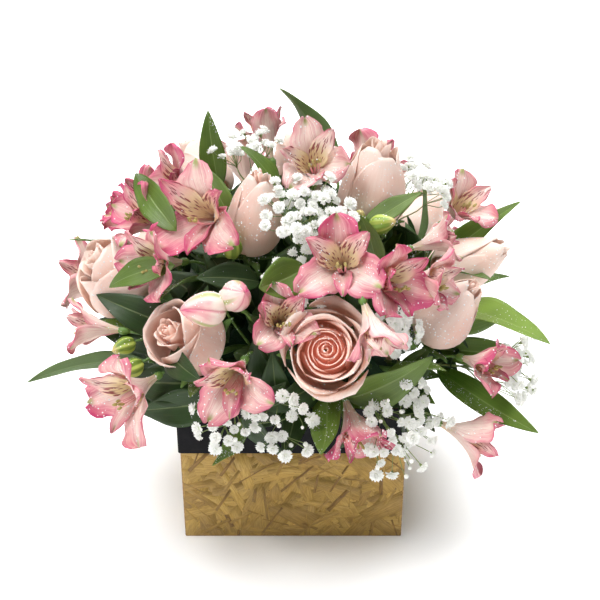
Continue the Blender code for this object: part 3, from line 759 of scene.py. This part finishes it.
def rose_head(shape, matrix, width, length, openness, turn, depth, heart):
    """A tightly rolled, domed heart, the large guard petals that wrap or cup it, and five sepals."""
    petals = []
    core, guards = 6 + int(12 * openness), 6 + int(2 * openness)
    coil = width / 2 * heart * (0.35 + 0.65 * openness)
    for k in range(core):
        t = k / (core - 1)
        lip = 0.2 + (coil - 0.2) * t**0.9
        height = length * (1.02 - 0.06 * openness) - 0.28 * lip
        half_turn = 68 + 95 * (1 - t) ** 2
        roll = 0.5 + (0.4 + 2.0 * openness) * t
        petals.append((lip + 2.2 + 2 * openness, lip, height, half_turn, roll, 0.13, 0.0, 1.05 - 0.5 * t))
    for k in range(guards):
        t = k / (guards - 1)
        belly = width / 2 * (0.8 - 0.1 * openness + (0.2 + 0.1 * openness) * t)
        lip = width / 2 * (0.26 + 0.5 * openness + (0.1 + 0.28 * openness) * t)
        height = length * (0.98 - 0.05 * openness - (0.06 + 0.2 * openness) * t)
        roll = (0.6 + 3.0 * openness) * (0.5 + 0.8 * t)
        half_turn = 84 - 8 * openness - 12 * t
        petals.append((belly, lip, height, half_turn, roll, 0.075, 0.24 * (1 - openness), 0.3 * (1 - t)))
    for k, (belly, lip, height, half_turn, roll, pitch, taper, tone) in enumerate(petals):
        height *= rng.uniform(0.985, 1.015)
        roll *= rng.uniform(0.6, 1.4)
        dip = rng.uniform(0.03, 0.09)
        grid = rose_petal(belly, lip, height, math.radians(half_turn), roll, pitch, taper, dip)
        phase = rng.uniform(0, 6)
        wave = np.sin(np.linspace(0, 7, grid.shape[1]) + phase)[None, :, None]
        rise = np.linspace(0, 1, grid.shape[0])[:, None, None] ** 4
        grid = grid * (1 + (0.006 + 0.018 * openness) * wave * rise)
        spin = about_z(math.radians(turn) + k * GOLDEN)
        tilt = Matrix.Rotation(rng.normal(0, 0.012 + 0.03 * openness * (k >= core)), 4, "X")
        shape.sheet(moved(grid, matrix @ tilt @ spin), PETAL, tone * depth, 0)
    for k in range(5):
        spin = about_z(math.radians(turn + 72 * k))
        shape.sheet(moved(sepal(width, rng.uniform(0.7, 1.3)), matrix @ spin), SEPAL, rng.uniform(0, 1), 1)


def sepal(width, droop):
    """A narrow pointed sepal that leaves the hip and bends away from the head."""
    v, s = spans(9, 5)
    half = 3.2 * np.sin(np.pi * np.clip(v * 0.86 + 0.14, 0, 1)) ** 0.8 + 0.15
    radius = 3 + width * 0.46 * np.sqrt(v) + 4 * droop * v**2
    tall = -1.5 + width * 0.30 * v**1.3 - 9 * droop * v**3 - 1.0 * s**2
    return grid_of(radius, half * s, tall)


def make_rose(name, spot, facing, width, length, openness, turn, depth, heart):
    face = aim(*facing)
    base = place(*spot) - face * length * 0.5 * MM
    shape = Shape()
    rose_head(shape, frame_of(face, UP, base), width, length, openness, turn, depth, heart)
    out, root, clear = planted(spot)
    under = base - face * 6 * MM
    pull = (under - clear).length * 0.38
    bend = bezier(clear, clear + out * pull, under - face * pull, under, 8)
    hip = [base - face * 3.5 * MM, base - face * 0.5 * MM, base + face * 2 * MM]
    line = np.concatenate([[np.array(root)], bend, np.array(hip)])
    shape.tube(line, [2.2] * 10 + [4.0, 5.2, 3.5], 10, 0.5, 2)
    return shape.build(name + "_bloom", "rose sepal stem", [name])


# ---- Alstroemeria ----


def tepal(length, width, lean, end_lean, kind, phase):
    """One alstroemeria tepal in the XZ plane: a narrow claw, then a ruffled, curling blade."""
    rows, cols = 21, 13
    v = np.linspace(0, 1, rows)
    angle = np.radians(lean + (end_lean - lean) * v**1.25)
    angle += math.radians(26) * math.sin(phase * 5) * np.clip((v - 0.7) / 0.3, 0, 1) ** 1.5
    step = length / (rows - 1)
    radius = np.concatenate([[0], np.cumsum(np.sin(angle[:-1]) * step)]) + 1.2
    tall = np.concatenate([[0], np.cumsum(np.cos(angle[:-1]) * step)])
    broad = 0.63 if kind == "outer" else 0.58
    half = 0.13 + 0.87 * smooth((v - 0.1) / (broad - 0.1))
    past = np.clip((v - broad) / (1.005 - broad), 0, 1)
    half = half * (1 - past**2) ** (0.55 if kind == "outer" else 0.8) * width / 2 + 0.25
    s = np.linspace(-1, 1, cols)[None, :]
    v = v[:, None]
    normal = np.stack([-np.cos(angle), 0 * angle, np.sin(angle)], axis=1)
    spine = np.stack([radius, 0 * radius, tall], axis=1)
    channel = (0.75 * (1 - v) ** 1.5 + 0.10) * half[:, None]
    lift = channel * s**2
    beat = np.where(s > 0, np.sin(phase + v * 12), np.sin(phase * 2.3 + v * 10.5))
    lift += 0.15 * width * smooth((v - 0.3) / 0.5) * beat * np.abs(s) ** 2.5
    lift += 0.05 * width * smooth((v - 0.55) / 0.4) * np.sin(5 * s + phase * 3)
    lift -= 0.5 * np.exp(-((s / 0.16) ** 2)) * (v < 0.93)
    nicks = np.where(s > 0, np.sin(phase + v * 27), np.sin(phase * 4 + v * 31))
    ragged = 1 + 0.07 * smooth((v - 0.4) / 0.3) * nicks
    grid = spine[:, None, :] + normal[:, None, :] * lift[:, :, None]
    grid[:, :, 1] += half[:, None] * s * ragged
    return grid * MM


def lily_flower(shape, matrix, width, tone):
    """Three broad outer tepals, three narrow inner ones, the upper two streaked, and six stamens."""
    size = width * 0.92
    spread = float(np.clip(38 + (width - 34) * 1.6, 38, 78))
    for k, degrees in enumerate((90, 212, 328)):
        lean = spread + rng.uniform(-2, 12) - (0 if k else 8)
        length, broad = size * rng.uniform(0.92, 1.03), size * rng.uniform(0.5, 0.57)
        grid = tepal(length, broad, 12, lean, "outer", rng.uniform(0, 6))
        spin = about_z(math.radians(degrees + rng.normal(0, 5)))
        shape.sheet(moved(grid, matrix @ spin), TEPAL, tone + rng.normal(0, 0.14), 0)
    for degrees in (34, 146):
        lean = spread - rng.uniform(8, 20)
        grid = tepal(size * rng.uniform(0.94, 1.0), size * 0.31, 9, lean, "inner", rng.uniform(0, 6))
        spin = about_z(math.radians(degrees + rng.normal(0, 4)))
        shape.sheet(moved(grid, matrix @ spin), TEPAL, tone + rng.normal(0, 0.12), 1)
    grid = tepal(size * 0.9, size * 0.24, 9, spread - rng.uniform(10, 22), "inner", rng.uniform(0, 6))
    spin = about_z(math.radians(270 + rng.normal(0, 4)))
    shape.sheet(moved(grid, matrix @ spin), TEPAL, tone + 0.2, 0)
    for k in range(6):
        side = (k - 2.5) * 0.9
        end = (side * 1.5 + rng.normal(0, 0.6), -3.0 - 1.2 * (k % 2), size * (0.62 + 0.04 * (k % 3)))
        line = bezier((side * 0.3, -0.5, 1), (side * 0.6, -4, size * 0.2), (side, -7, size * 0.45), end, 7)
        line = moved(line * MM, matrix)
        shape.tube(line, np.linspace(0.5, 0.28, 8), 5, tone, 3)
        way = line[-1] - line[-2]
        way /= np.linalg.norm(way)
        knob = line[-1][None, :] + np.linspace(-1.8, 2.4, 6)[:, None] * MM * way
        shape.tube(knob, [0.3, 0.85, 1.0, 0.95, 0.8, 0.25], 6, rng.uniform(0, 1), 4)


def bud(shape, matrix, length, green, tone):
    """A closed bud: three folded segments that meet in seams."""
    v, turn = np.linspace(0, 1, 17)[:, None], np.linspace(0, 2 * math.pi, 31)[None, :]
    belly = np.sin(math.pi * np.clip(v, 0, 1) ** 0.75) ** 0.7 * (0.30 if green else 0.34)
    ribs = 1 + (0.10 * np.cos(6 * turn) if green else 0.16 * np.abs(np.sin(1.5 * turn)) - 0.1)
    twist = turn + 0.5 * v
    radius = (belly * length * ribs) + 0.3
    grid = grid_of(radius * np.cos(twist), radius * np.sin(twist), v * length)
    shape.sheet(moved(grid, matrix), BUD, tone, 5 if green else 8)


def make_sprig(name, parting, flowers, buds):
    """An alstroemeria stem with its flowers, its buds and the whorl of small leaves where the stalks part."""
    shape = Shape()
    out, root, _ = planted(parting)
    hub = place(*parting)
    shape.tube([root, root.lerp(hub, 0.5), hub, hub + out * 3 * MM], [2.0, 2.0, 2.2, 1.2], 8, 0.5, 2)
    for spot, facing, width, tone in flowers:
        face = aim(*facing)
        base = place(*spot) - face * width * 0.42 * MM
        stalk(shape, hub, base - face * 5 * MM, face, 1.0)
        ovary = [base + face * mm * MM for mm in (-6, -4, -1, 2)]
        shape.tube(ovary, [1.1, 2.4, 2.9, 1.6], 8, 0.4, 2)
        up = UP if abs(face.z) < 0.8 else out
        turn = about_z(math.radians(rng.normal(0, 16)))
        lily_flower(shape, frame_of(face, up, base) @ turn, width, tone)
    for spot, facing, length, green in buds:
        face = aim(*facing)
        base = place(*spot) - face * length * 0.5 * MM
        stalk(shape, hub, base, face, 0.9)
        bud(shape, frame_of(face, UP, base), length, green, rng.uniform(0.2, 0.8))
    for k in range(4):
        turn = math.radians(90 * k + rng.uniform(0, 50))
        side = out.orthogonal().normalized()
        side.rotate(Quaternion(out, turn))
        tip = hub + out * rng.uniform(20, 34) * MM + side * rng.uniform(10, 24) * MM
        width, bow, turn, tone = (rng.uniform(*span) for span in ((10, 15), (-4, 4), (0, 90), (0, 0.5)))
        leaf_blade(shape, hub, tip, width, bow, turn, 6, 7, tone)
    looks = "lily streaked stem filament anther bud leaf leaf_under pink_bud"
    return shape.build(name + "_bloom", looks, [name])


def stalk(shape, start, end, face, radius):
    """A thin stalk from one point to another, which arrives along the way its flower faces."""
    pull = (end - start).length * 0.38
    lead = (end - start).normalized()
    line = bezier(start, start + lead * pull, end - face * pull, end, 8)
    shape.tube(line, radius, 6, 0.5, 2)


# ---- Leaves ----


def leaf_blade(shape, foot, tip, width, bow, turn, top, under, tone=None, rows=17, cols=9):
    """A leaf blade from foot to tip: pointed, folded a little along its rib, bowed, twisted and wavy."""
    foot, tip = Vector(foot), Vector(tip)
    along = (tip - foot).normalized()
    level = along.cross(UP)
    level = level.normalized() if level.length > 1e-3 else Vector((1, 0, 0))
    side = Matrix.Rotation(math.radians(turn), 3, along) @ level
    face = side.cross(along).normalized()
    lift = face * bow * MM
    spine = bezier(foot, foot.lerp(tip, 0.33) + lift, foot.lerp(tip, 0.7) + lift, tip, rows - 1)
    t = np.linspace(0, 1, rows)
    half = np.sin(np.pi * np.clip(t, 0, 1) ** 0.82) ** 0.85 * width / 2 * (1 - 0.25 * t) * 1.12 + 0.25
    half *= MM
    twist = rng.normal(0, 0.28) * t
    phase = rng.uniform(0, 6)
    s = np.linspace(-1, 1, cols)
    side, face = np.array(side), np.array(face)
    grid = np.zeros((rows, cols, 3))
    for i in range(rows):
        across = side * math.cos(twist[i]) + face * math.sin(twist[i])
        outward = face * math.cos(twist[i]) - side * math.sin(twist[i])
        fold = np.abs(s) * half[i] * 0.28
        wave = 0.10 * half[i] * np.sin(phase + t[i] * 11) * s * np.abs(s)
        grid[i] = spine[i] + across * (half[i] * s)[:, None] + outward * (fold + wave)[:, None]
    tone = rng.uniform(0, 1) if tone is None else tone
    shape.sheet(grid, LEAF, tone, top, under)


def make_leaf(name, start, end, width, bow, turn):
    shape = Shape()
    # Blades listed in LEAF_TONES are lighter where they catch the light, painted light; the rest get a dark
    # tone, painted shade.
    tone = LEAF_TONES.get(name, rng.uniform(0.1, 0.4))
    _, root, clear = planted(start)
    foot, tip = place(*start), place(*end)
    along = (tip - foot).normalized()
    bend = bezier(clear, clear.lerp(foot, 0.5), foot - along * 8 * MM, foot, 7)
    line = np.concatenate([[np.array(root)], bend])
    shape.tube(line, 1.1, 6, 0.5, 2)
    leaf_blade(shape, foot, tip, width, bow, turn, 0, 1, tone, 25, 11)
    return shape.build(name + "_blade", "leaf leaf_under stem", [name])


# ---- Gypsophila ----


def floret_template(seed):
    """A double gypsophila floret about 9 mm across: a pompom of ruffled petals, steeper inwards."""
    draw = np.random.default_rng(seed)
    shape = Shape()
    rings = ((7, 4.6, 88, 3.4), (7, 4.5, 66, 3.2), (6, 4.2, 46, 2.9), (5, 3.9, 27, 2.6), (3, 3.6, 10, 2.2))
    for ring, (count, length, lean, width) in enumerate(rings):
        for k in range(count):
            v, s = spans(5, 5)
            angle = math.radians(lean + draw.normal(0, 8))
            reach = length * draw.uniform(0.88, 1.08)
            half = width / 2 * (0.22 + 0.78 * np.sin(v * 2.0))
            ruffle = 0.42 * np.sin(s * 4.4 + draw.uniform(0, 6)) * v**2
            radius = 0.4 + reach * v * math.sin(angle) - 0.35 * (1 - np.abs(s)) * v**4
            radius = radius + ruffle * math.cos(angle)
            tall = reach * v * math.cos(angle) + ruffle * math.sin(angle) + 0.5 * s**2 * v
            grid = grid_of(radius, half * s, tall)
            spin = about_z(2 * math.pi * k / count + ring * 0.55 + draw.normal(0, 0.15))
            shape.sheet(moved(grid, spin), FLORET, 0.5, 0)
    cup = np.array([(0, 0, -2.4), (0, 0, -1.6), (0, 0, -0.4), (0, 0, 0.6)]) * MM
    shape.tube(cup, [0.4, 0.9, 1.1, 0.9], 6, 0.5, 1)
    return shape


def make_spray(name, spot, spread, count, templates):
    """A spray of florets on forking twigs, from one stem: denser in its middle, with small round buds."""
    shape = Shape()
    out, root, _ = planted(spot)
    centre = place(*spot)
    fork = place(spot[0], spot[1], spot[2] - FORK_DEPTH)
    shape.tube([root, root.lerp(fork, 0.5), fork], [1.0, 1.0, 0.8], 6, 0.5, 1)
    across = out.cross(UP).normalized()
    up = across.cross(out)
    limbs = []
    twigs = max(count // 6, 4)
    for k in range(twigs):
        reach = spread * 0.55 * math.sqrt((k + 0.5) / twigs) * MM
        turn = GOLDEN * k + rng.uniform(-0.3, 0.3)
        away = (across * math.cos(turn) + up * math.sin(turn)) * reach
        node = centre - out * rng.uniform(12, 20) * MM + away
        line = bezier(fork, fork + out * 10 * MM, node - out * 8 * MM, node, 5)
        shape.tube(line, np.linspace(0.6, 0.42, 6), 5, 0.5, 1)
        limbs.append(node)
    for k in range(count):
        reach = spread * math.sqrt((k + 0.5) / count) * rng.uniform(0.85, 1.1) * MM
        turn = GOLDEN * k + rng.uniform(-0.25, 0.25)
        lift = rng.normal(0, 0.16) * spread * MM
        away = (across * math.cos(turn) + up * math.sin(turn)) * reach
        tip = centre + away + out * lift
        node = min(limbs, key=lambda p: (p - tip).length)
        way = ((tip - node).normalized() + out * 0.6 + Vector(rng.normal(0, 0.25, 3))).normalized()
        line = bezier(node, node + out * 4 * MM, tip - way * 6 * MM, tip - way * 2 * MM, 5)
        shape.tube(line, 0.28, 4, 0.5, 1)
        if rng.uniform() < UNOPENED:
            bud_ball(shape, frame_of(way, UP, tip), rng.uniform(1.0, 1.7))
            continue
        size = rng.uniform(0.62, 0.98)
        spin = about_z(rng.uniform(0, 6.28)) @ Matrix.Scale(size, 4)
        shape.place_copy(templates[int(rng.integers(len(templates)))], frame_of(way, UP, tip) @ spin)
    return shape.build(name + "_cloud", "floret twig", [name])


def bud_ball(shape, matrix, radius):
    """A round unopened floret, white at its tip and green at its foot."""
    ways = np.linspace(-1.0, 1.0, 6)
    line = np.stack([0 * ways, 0 * ways, ways * radius * MM], axis=1)
    shape.tube(moved(line, matrix), radius * np.sqrt(np.clip(1.06 - ways**2, 0.05, 1)), 7, 0.5, 0)


# ---- Box, droplets and filling foliage ----


def clipped(corners, low, high):
    """A polygon cut to an upright rectangle, side by side (Sutherland-Hodgman)."""
    for axis, limit, sign in ((0, low[0], 1), (0, high[0], -1), (1, low[1], 1), (1, high[1], -1)):
        kept = []
        for a, b in zip(corners, corners[1:] + corners[:1]):
            da, db = sign * (a[axis] - limit), sign * (b[axis] - limit)
            if da >= 0:
                kept.append(a)
            if da * db < 0:
                kept.append(a + (b - a) * (da / (da - db)))
        corners = kept
        if len(corners) < 3:
            return []
    return corners


def lay_strands(shape, node, across, outward, count):
    """Wood strands pressed flat on a panel's outer face, at every angle, below the band."""
    low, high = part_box(node)
    middle = (low + high) / 2
    face = middle + outward * abs((high - low).dot(outward)) / 2
    half = abs((high - low).dot(across)) / 2
    foot, top = low.z + 0.8 * MM, COLLAR_LOW.z - 0.2 * MM
    for k in range(count):
        centre = np.array([rng.uniform(-half, half), rng.uniform(foot, top)])
        narrow = k > WIDE_STRANDS * count
        long = rng.uniform(10, 34 if narrow else 54) * MM
        wide = (rng.uniform(0.7, 3.5) if narrow else rng.uniform(5, 18)) * MM
        angle = rng.uniform(0, math.pi)
        turn = np.array([[math.cos(angle), math.sin(angle)], [-math.sin(angle), math.cos(angle)]])
        slant = rng.uniform(-0.35, 0.35, 2) * wide
        local = [(-long / 2, -wide / 2), (long / 2 + slant[0], -wide / 2 * rng.uniform(0.3, 1))]
        local += [(long / 2 - slant[0], wide / 2), (-long / 2 + slant[1], wide / 2 * rng.uniform(0.3, 1))]
        corners = [centre + np.array(p) @ turn for p in local]
        edge = 0.7 * MM
        corners = clipped(corners, (-half + edge, foot), (half - edge, top))
        if not corners:
            continue
        rise = (0.02 + 0.07 * (k + rng.uniform(0, 40)) / (count + 40)) * MM
        rings, uvs = [], []
        for lift in (rise, -0.2 * MM):
            for a, b in corners:
                spot = Vector((face.x, face.y, 0)) + across * a + outward * lift
                rings.append((spot.x, spot.y, b))
                uvs.append((turn @ (np.array([a, b]) - centre)) / 0.01)
        n = len(corners)
        faces = [tuple(range(n)), tuple(range(2 * n - 1, n - 1, -1))]
        faces += [(i, i + n, (i + 1) % n + n, (i + 1) % n) for i in range(n)]
        if across.cross(UP).dot(outward) < 0:
            faces = [f[::-1] for f in faces]
        tone = rng.uniform(0.05, 0.7) if narrow else rng.uniform(0.42, 1)
        shape.add(rings, uvs, tone, faces, [0] * len(faces))


def drop_template():
    """A flattened water drop of radius 1, sitting on z = 0."""
    shape = Shape()
    ways = np.array([-0.2, 0.74])
    line = np.stack([0 * ways, 0 * ways, ways * 0.8], axis=1)
    shape.tube(line, np.sqrt(1 - ways**2) / MM, 6)
    return shape


def sprinkle(shape, piece, count, drop, scale):
    """Droplets on the outward, upward parts of a piece, with more small ones than large ones."""
    mesh = piece.data
    n = len(mesh.polygons)
    centres, normals, areas = np.zeros(n * 3), np.zeros(n * 3), np.zeros(n)
    mesh.polygons.foreach_get("center", centres)
    mesh.polygons.foreach_get("normal", normals)
    mesh.polygons.foreach_get("area", areas)
    centres, normals = centres.reshape(-1, 3), normals.reshape(-1, 3)
    ahead = centres - np.array(HEART)
    far = np.linalg.norm(ahead, axis=1)
    ahead /= far[:, None]
    facing = np.einsum("ij,ij->i", normals, ahead) + 0.4 * normals[:, 2]
    chance = areas * (facing > 0.25) * (far > DROP_REACH * MM)
    if chance.sum() <= 0:
        return
    for k in rng.choice(n, count, p=chance / chance.sum()):
        size = scale * (0.26 + 0.4 * rng.uniform() ** 2)
        share = rng.dirichlet([1] * mesh.polygons[k].loop_total)
        spot = sum((mesh.vertices[i].co * w for i, w in zip(mesh.polygons[k].vertices, share)), Vector())
        spin = frame_of(Vector(normals[k]), (0.1, 0.2, 1), spot)
        shape.place_copy(drop, spin @ Matrix.Scale(size * MM, 4))


def make_fill_leaves(name):
    shape = Shape()
    for start, end, width, bow, turn, tone in FILL_LEAVES:
        foot, tip = place(*start), place(*end)
        turn += outward_turn(foot, tip, aim((start[0] + end[0]) / 2, (start[1] + end[1]) / 2))
        # Leaves with a tone below 0.2 take the darker shade-painted looks: painted shade.
        dark = 2 if tone < 0.2 else 0
        leaf_blade(shape, foot, tip, width, bow, turn, dark, dark + 1, tone, 21, 11)
    return shape.build(name, "leaf leaf_under deep_leaf deep_under")


def fill_foliage(name, count, low, high, seed):
    """Leaves between the stems, evenly over the dome, near black with painted shade: some stand up, most lie
    over it like shingles.
    """
    shape = Shape()
    draw = np.random.default_rng(seed)
    bottom, top = math.sin(math.radians(low)), math.sin(math.radians(high))
    for k in range(count):
        rise = math.degrees(math.asin(bottom + (top - bottom) * (k + 0.5) / count))
        turn = math.degrees(GOLDEN * k) % 360
        if k % 3:
            foot = place(turn, max(rise, 5), draw.uniform(98, 112))
            way = draw.uniform(0, 2 * math.pi)
            swing, lift = 19 * math.cos(way) / max(math.cos(math.radians(rise)), 0.3), 19 * math.sin(way)
            tip = place(turn + swing, max(rise + lift, 0), draw.uniform(122, 146))
            width = draw.uniform(19, 27)
        else:
            foot = place(turn, max(rise, 6), draw.uniform(56, 68))
            tip = place(turn + draw.normal(0, 9), max(rise + draw.normal(0, 7), 0), draw.uniform(100, 126))
            width = draw.uniform(18, 28)
        face = outward_turn(foot, tip, aim(turn, rise)) + draw.normal(0, 22)
        leaf_blade(shape, foot, tip, width, draw.uniform(2, 9), face, 0, 1, draw.uniform(0, 0.9), 13, 7)
    return shape.build(name, "deep_leaf deep_under")


# ---- Stage ----


def area_light(name, spot, size, power):
    light = bpy.data.lights.new(name, "AREA")
    light.size = size
    light.energy = power
    made = add_object(name, light)
    made.location = spot
    made.rotation_euler = (Vector(MIDDLE) - Vector(spot)).to_track_quat("-Z", "Y").to_euler()


def make_stage():
    """A white floor whose glow fades into painted shade close to the box, and backdrop colour, soft lights
    above and in front, and the camera.
    """
    floor_mesh = bpy.data.meshes.new("floor")
    corners = [(-4, -4, 0), (4, -4, 0), (4, 4, 0), (-4, 4, 0)]
    floor_mesh.from_pydata(corners, [], [(0, 1, 2, 3)])
    floor = add_object("floor", floor_mesh)
    white = Look("floor_white")
    spot = white.nodes.new("ShaderNodeVectorMath")
    spot.operation = "LENGTH"
    white.links.new(white.position(), spot.inputs[0])
    # The floor's glow fades to nothing close to the box: painted shade around the box's foot. Further off the
    # glow rises, so the distant floor stays white.
    near = white.step(spot.outputs["Value"], 0.085, 0.165)
    far = white.step(spot.outputs["Value"], 0.25, 1.2)
    glow = white.plus(white.times(near, 0.4), white.times(far, 0.5))
    white.set(Emission_Color=(1, 1, 1), Emission_Strength=glow)
    tint = white.mix(white.noise(white.position(), 300.0), (0.96, 0.96, 0.96), (0.98, 0.98, 0.98))
    floor_mesh.materials.append(white.finish(tint, 0.9))

    world = bpy.data.worlds.new("studio")
    bpy.context.scene.world = world
    world.use_nodes = True
    nodes, links = world.node_tree.nodes, world.node_tree.links
    soft, plain = nodes["Background"], nodes.new("ShaderNodeBackground")
    for sky, strength in ((soft, SKY_GLOW), (plain, 1.0)):
        sky.inputs["Color"].default_value = (1, 1, 1, 1)
        sky.inputs["Strength"].default_value = strength
    path = nodes.new("ShaderNodeLightPath")
    either = nodes.new("ShaderNodeMixShader")
    links.new(path.outputs["Is Camera Ray"], either.inputs[0])
    links.new(soft.outputs[0], either.inputs[1])
    links.new(plain.outputs[0], either.inputs[2])
    links.new(either.outputs[0], nodes["World Output"].inputs["Surface"])

    for name, light in LIGHTS.items():
        area_light(name, *light)

    camera_data = bpy.data.cameras.new("camera")
    camera_data.lens, camera_data.sensor_width = CAMERA_LENS, CAMERA_SENSOR
    camera = add_object("camera", camera_data)
    camera.location = CAMERA_SPOT
    camera.rotation_euler = (math.radians(CAMERA_TILT), 0, 0)
    bpy.context.scene.camera = camera
    bpy.context.scene.view_settings.view_transform = "Standard"


# Light colour and dark colour.
STEM_LOOKS = {
    "filament": ((0.85, 0.45, 0.45), (0.75, 0.30, 0.35)),
    "anther": ((0.55, 0.45, 0.14), (0.28, 0.24, 0.09)),
    "stem": ((0.14, 0.26, 0.05), (0.08, 0.17, 0.03)),
    "twig": ((0.28, 0.36, 0.12), (0.18, 0.26, 0.08)),
}

# Light colour, dark colour, roughness, and the colour of the light that comes through.
LEAF_LOOKS = {
    "sepal": ((0.16, 0.30, 0.06), (0.07, 0.16, 0.03), 0.5, (0.3, 0.5, 0.05)),
    "leaf": ((0.24, 0.36, 0.06), (0.018, 0.05, 0.006), 0.36, (0.25, 0.5, 0.03)),
    "leaf_under": ((0.22, 0.32, 0.12), (0.07, 0.12, 0.045), 0.55, (0.25, 0.5, 0.05)),
    # Near black copies of leaf and leaf_under, for leaves that sit in shade inside the arrangement: painted
    # shade.
    "deep_leaf": ((0.055, 0.12, 0.022), (0.008, 0.025, 0.005), 0.4, (0.08, 0.2, 0.01)),
    "deep_under": ((0.08, 0.16, 0.05), (0.03, 0.07, 0.02), 0.6, (0.08, 0.2, 0.02)),
}

LOOKS = {
    "rose": rose_material(),
    "lily": lily_material(),
    "streaked": streaked_material(),
    "bud": bud_material(),
    "pink_bud": pink_bud_material(),
    "floret": floret_material(),
    "water": water_material(),
    "board": board_material(),
    "strand": strand_material(),
    "felt": felt_material(),
    "foam": grainy_material(
        "floral_foam", 900.0, 3.0, 0.7, (0.010, 0.035, 0.014), (0.03, 0.09, 0.035), 0.0006, 0.8, 0.95
    ),
    "plastic": grainy_material(
        "liner_plastic", 700.0, 2.0, 0.5, (0.012, 0.012, 0.012), (0.022, 0.022, 0.022), 0.0002, 0.4, 0.4
    ),
}
LOOKS.update((name, stem_material(name, *look)) for name, look in STEM_LOOKS.items())
LOOKS.update((name, leaf_material(name, *look)) for name, look in LEAF_LOOKS.items())


def dress_cad():
    """Materials for the CAD nodes that stay: the box, its band, the liner and the foam."""
    looks = {"collar": "felt", "liner_tray": "plastic", "foam_block": "foam"}
    for name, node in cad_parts.items():
        look = looks.get(name, "board")
        node.data.materials.clear()
        node.data.materials.append(LOOKS[look])


def main():
    make_stage()
    dress_cad()
    blooms = [make_rose(name, *rose) for name, rose in ROSES.items()]
    sprigs = [make_sprig(name, *sprig) for name, sprig in SPRIGS.items()]
    blades = [make_leaf(name, *leaf) for name, leaf in LEAVES.items()]
    templates = [floret_template(seed) for seed in range(FLORET_KINDS)]
    for name, spray in SPRAYS.items():
        make_spray(name, *spray, templates)
    blades.append(make_fill_leaves("fill_leaves"))
    fill_foliage("inner_foliage", INNER_LEAVES, 1, 86, 5)
    strands = Shape()
    for node, (across, outward, count) in PANELS.items():
        lay_strands(strands, node, Vector(across), Vector(outward), count)
    strands.build("board_strands", "strand")
    drop = drop_template()
    dew = {
        "rose_dew": (blooms, ROSE_DROPS, 1.0),
        "alstroemeria_dew": (sprigs, LILY_DROPS, 1.0),
        "leaf_dew": (blades, LEAF_DROPS, LEAF_DROP_SIZE),
    }
    for name, (pieces, count, scale) in dew.items():
        water = Shape()
        for piece in pieces:
            sprinkle(water, piece, count, drop, scale)
        water.build(name, "water")


main()
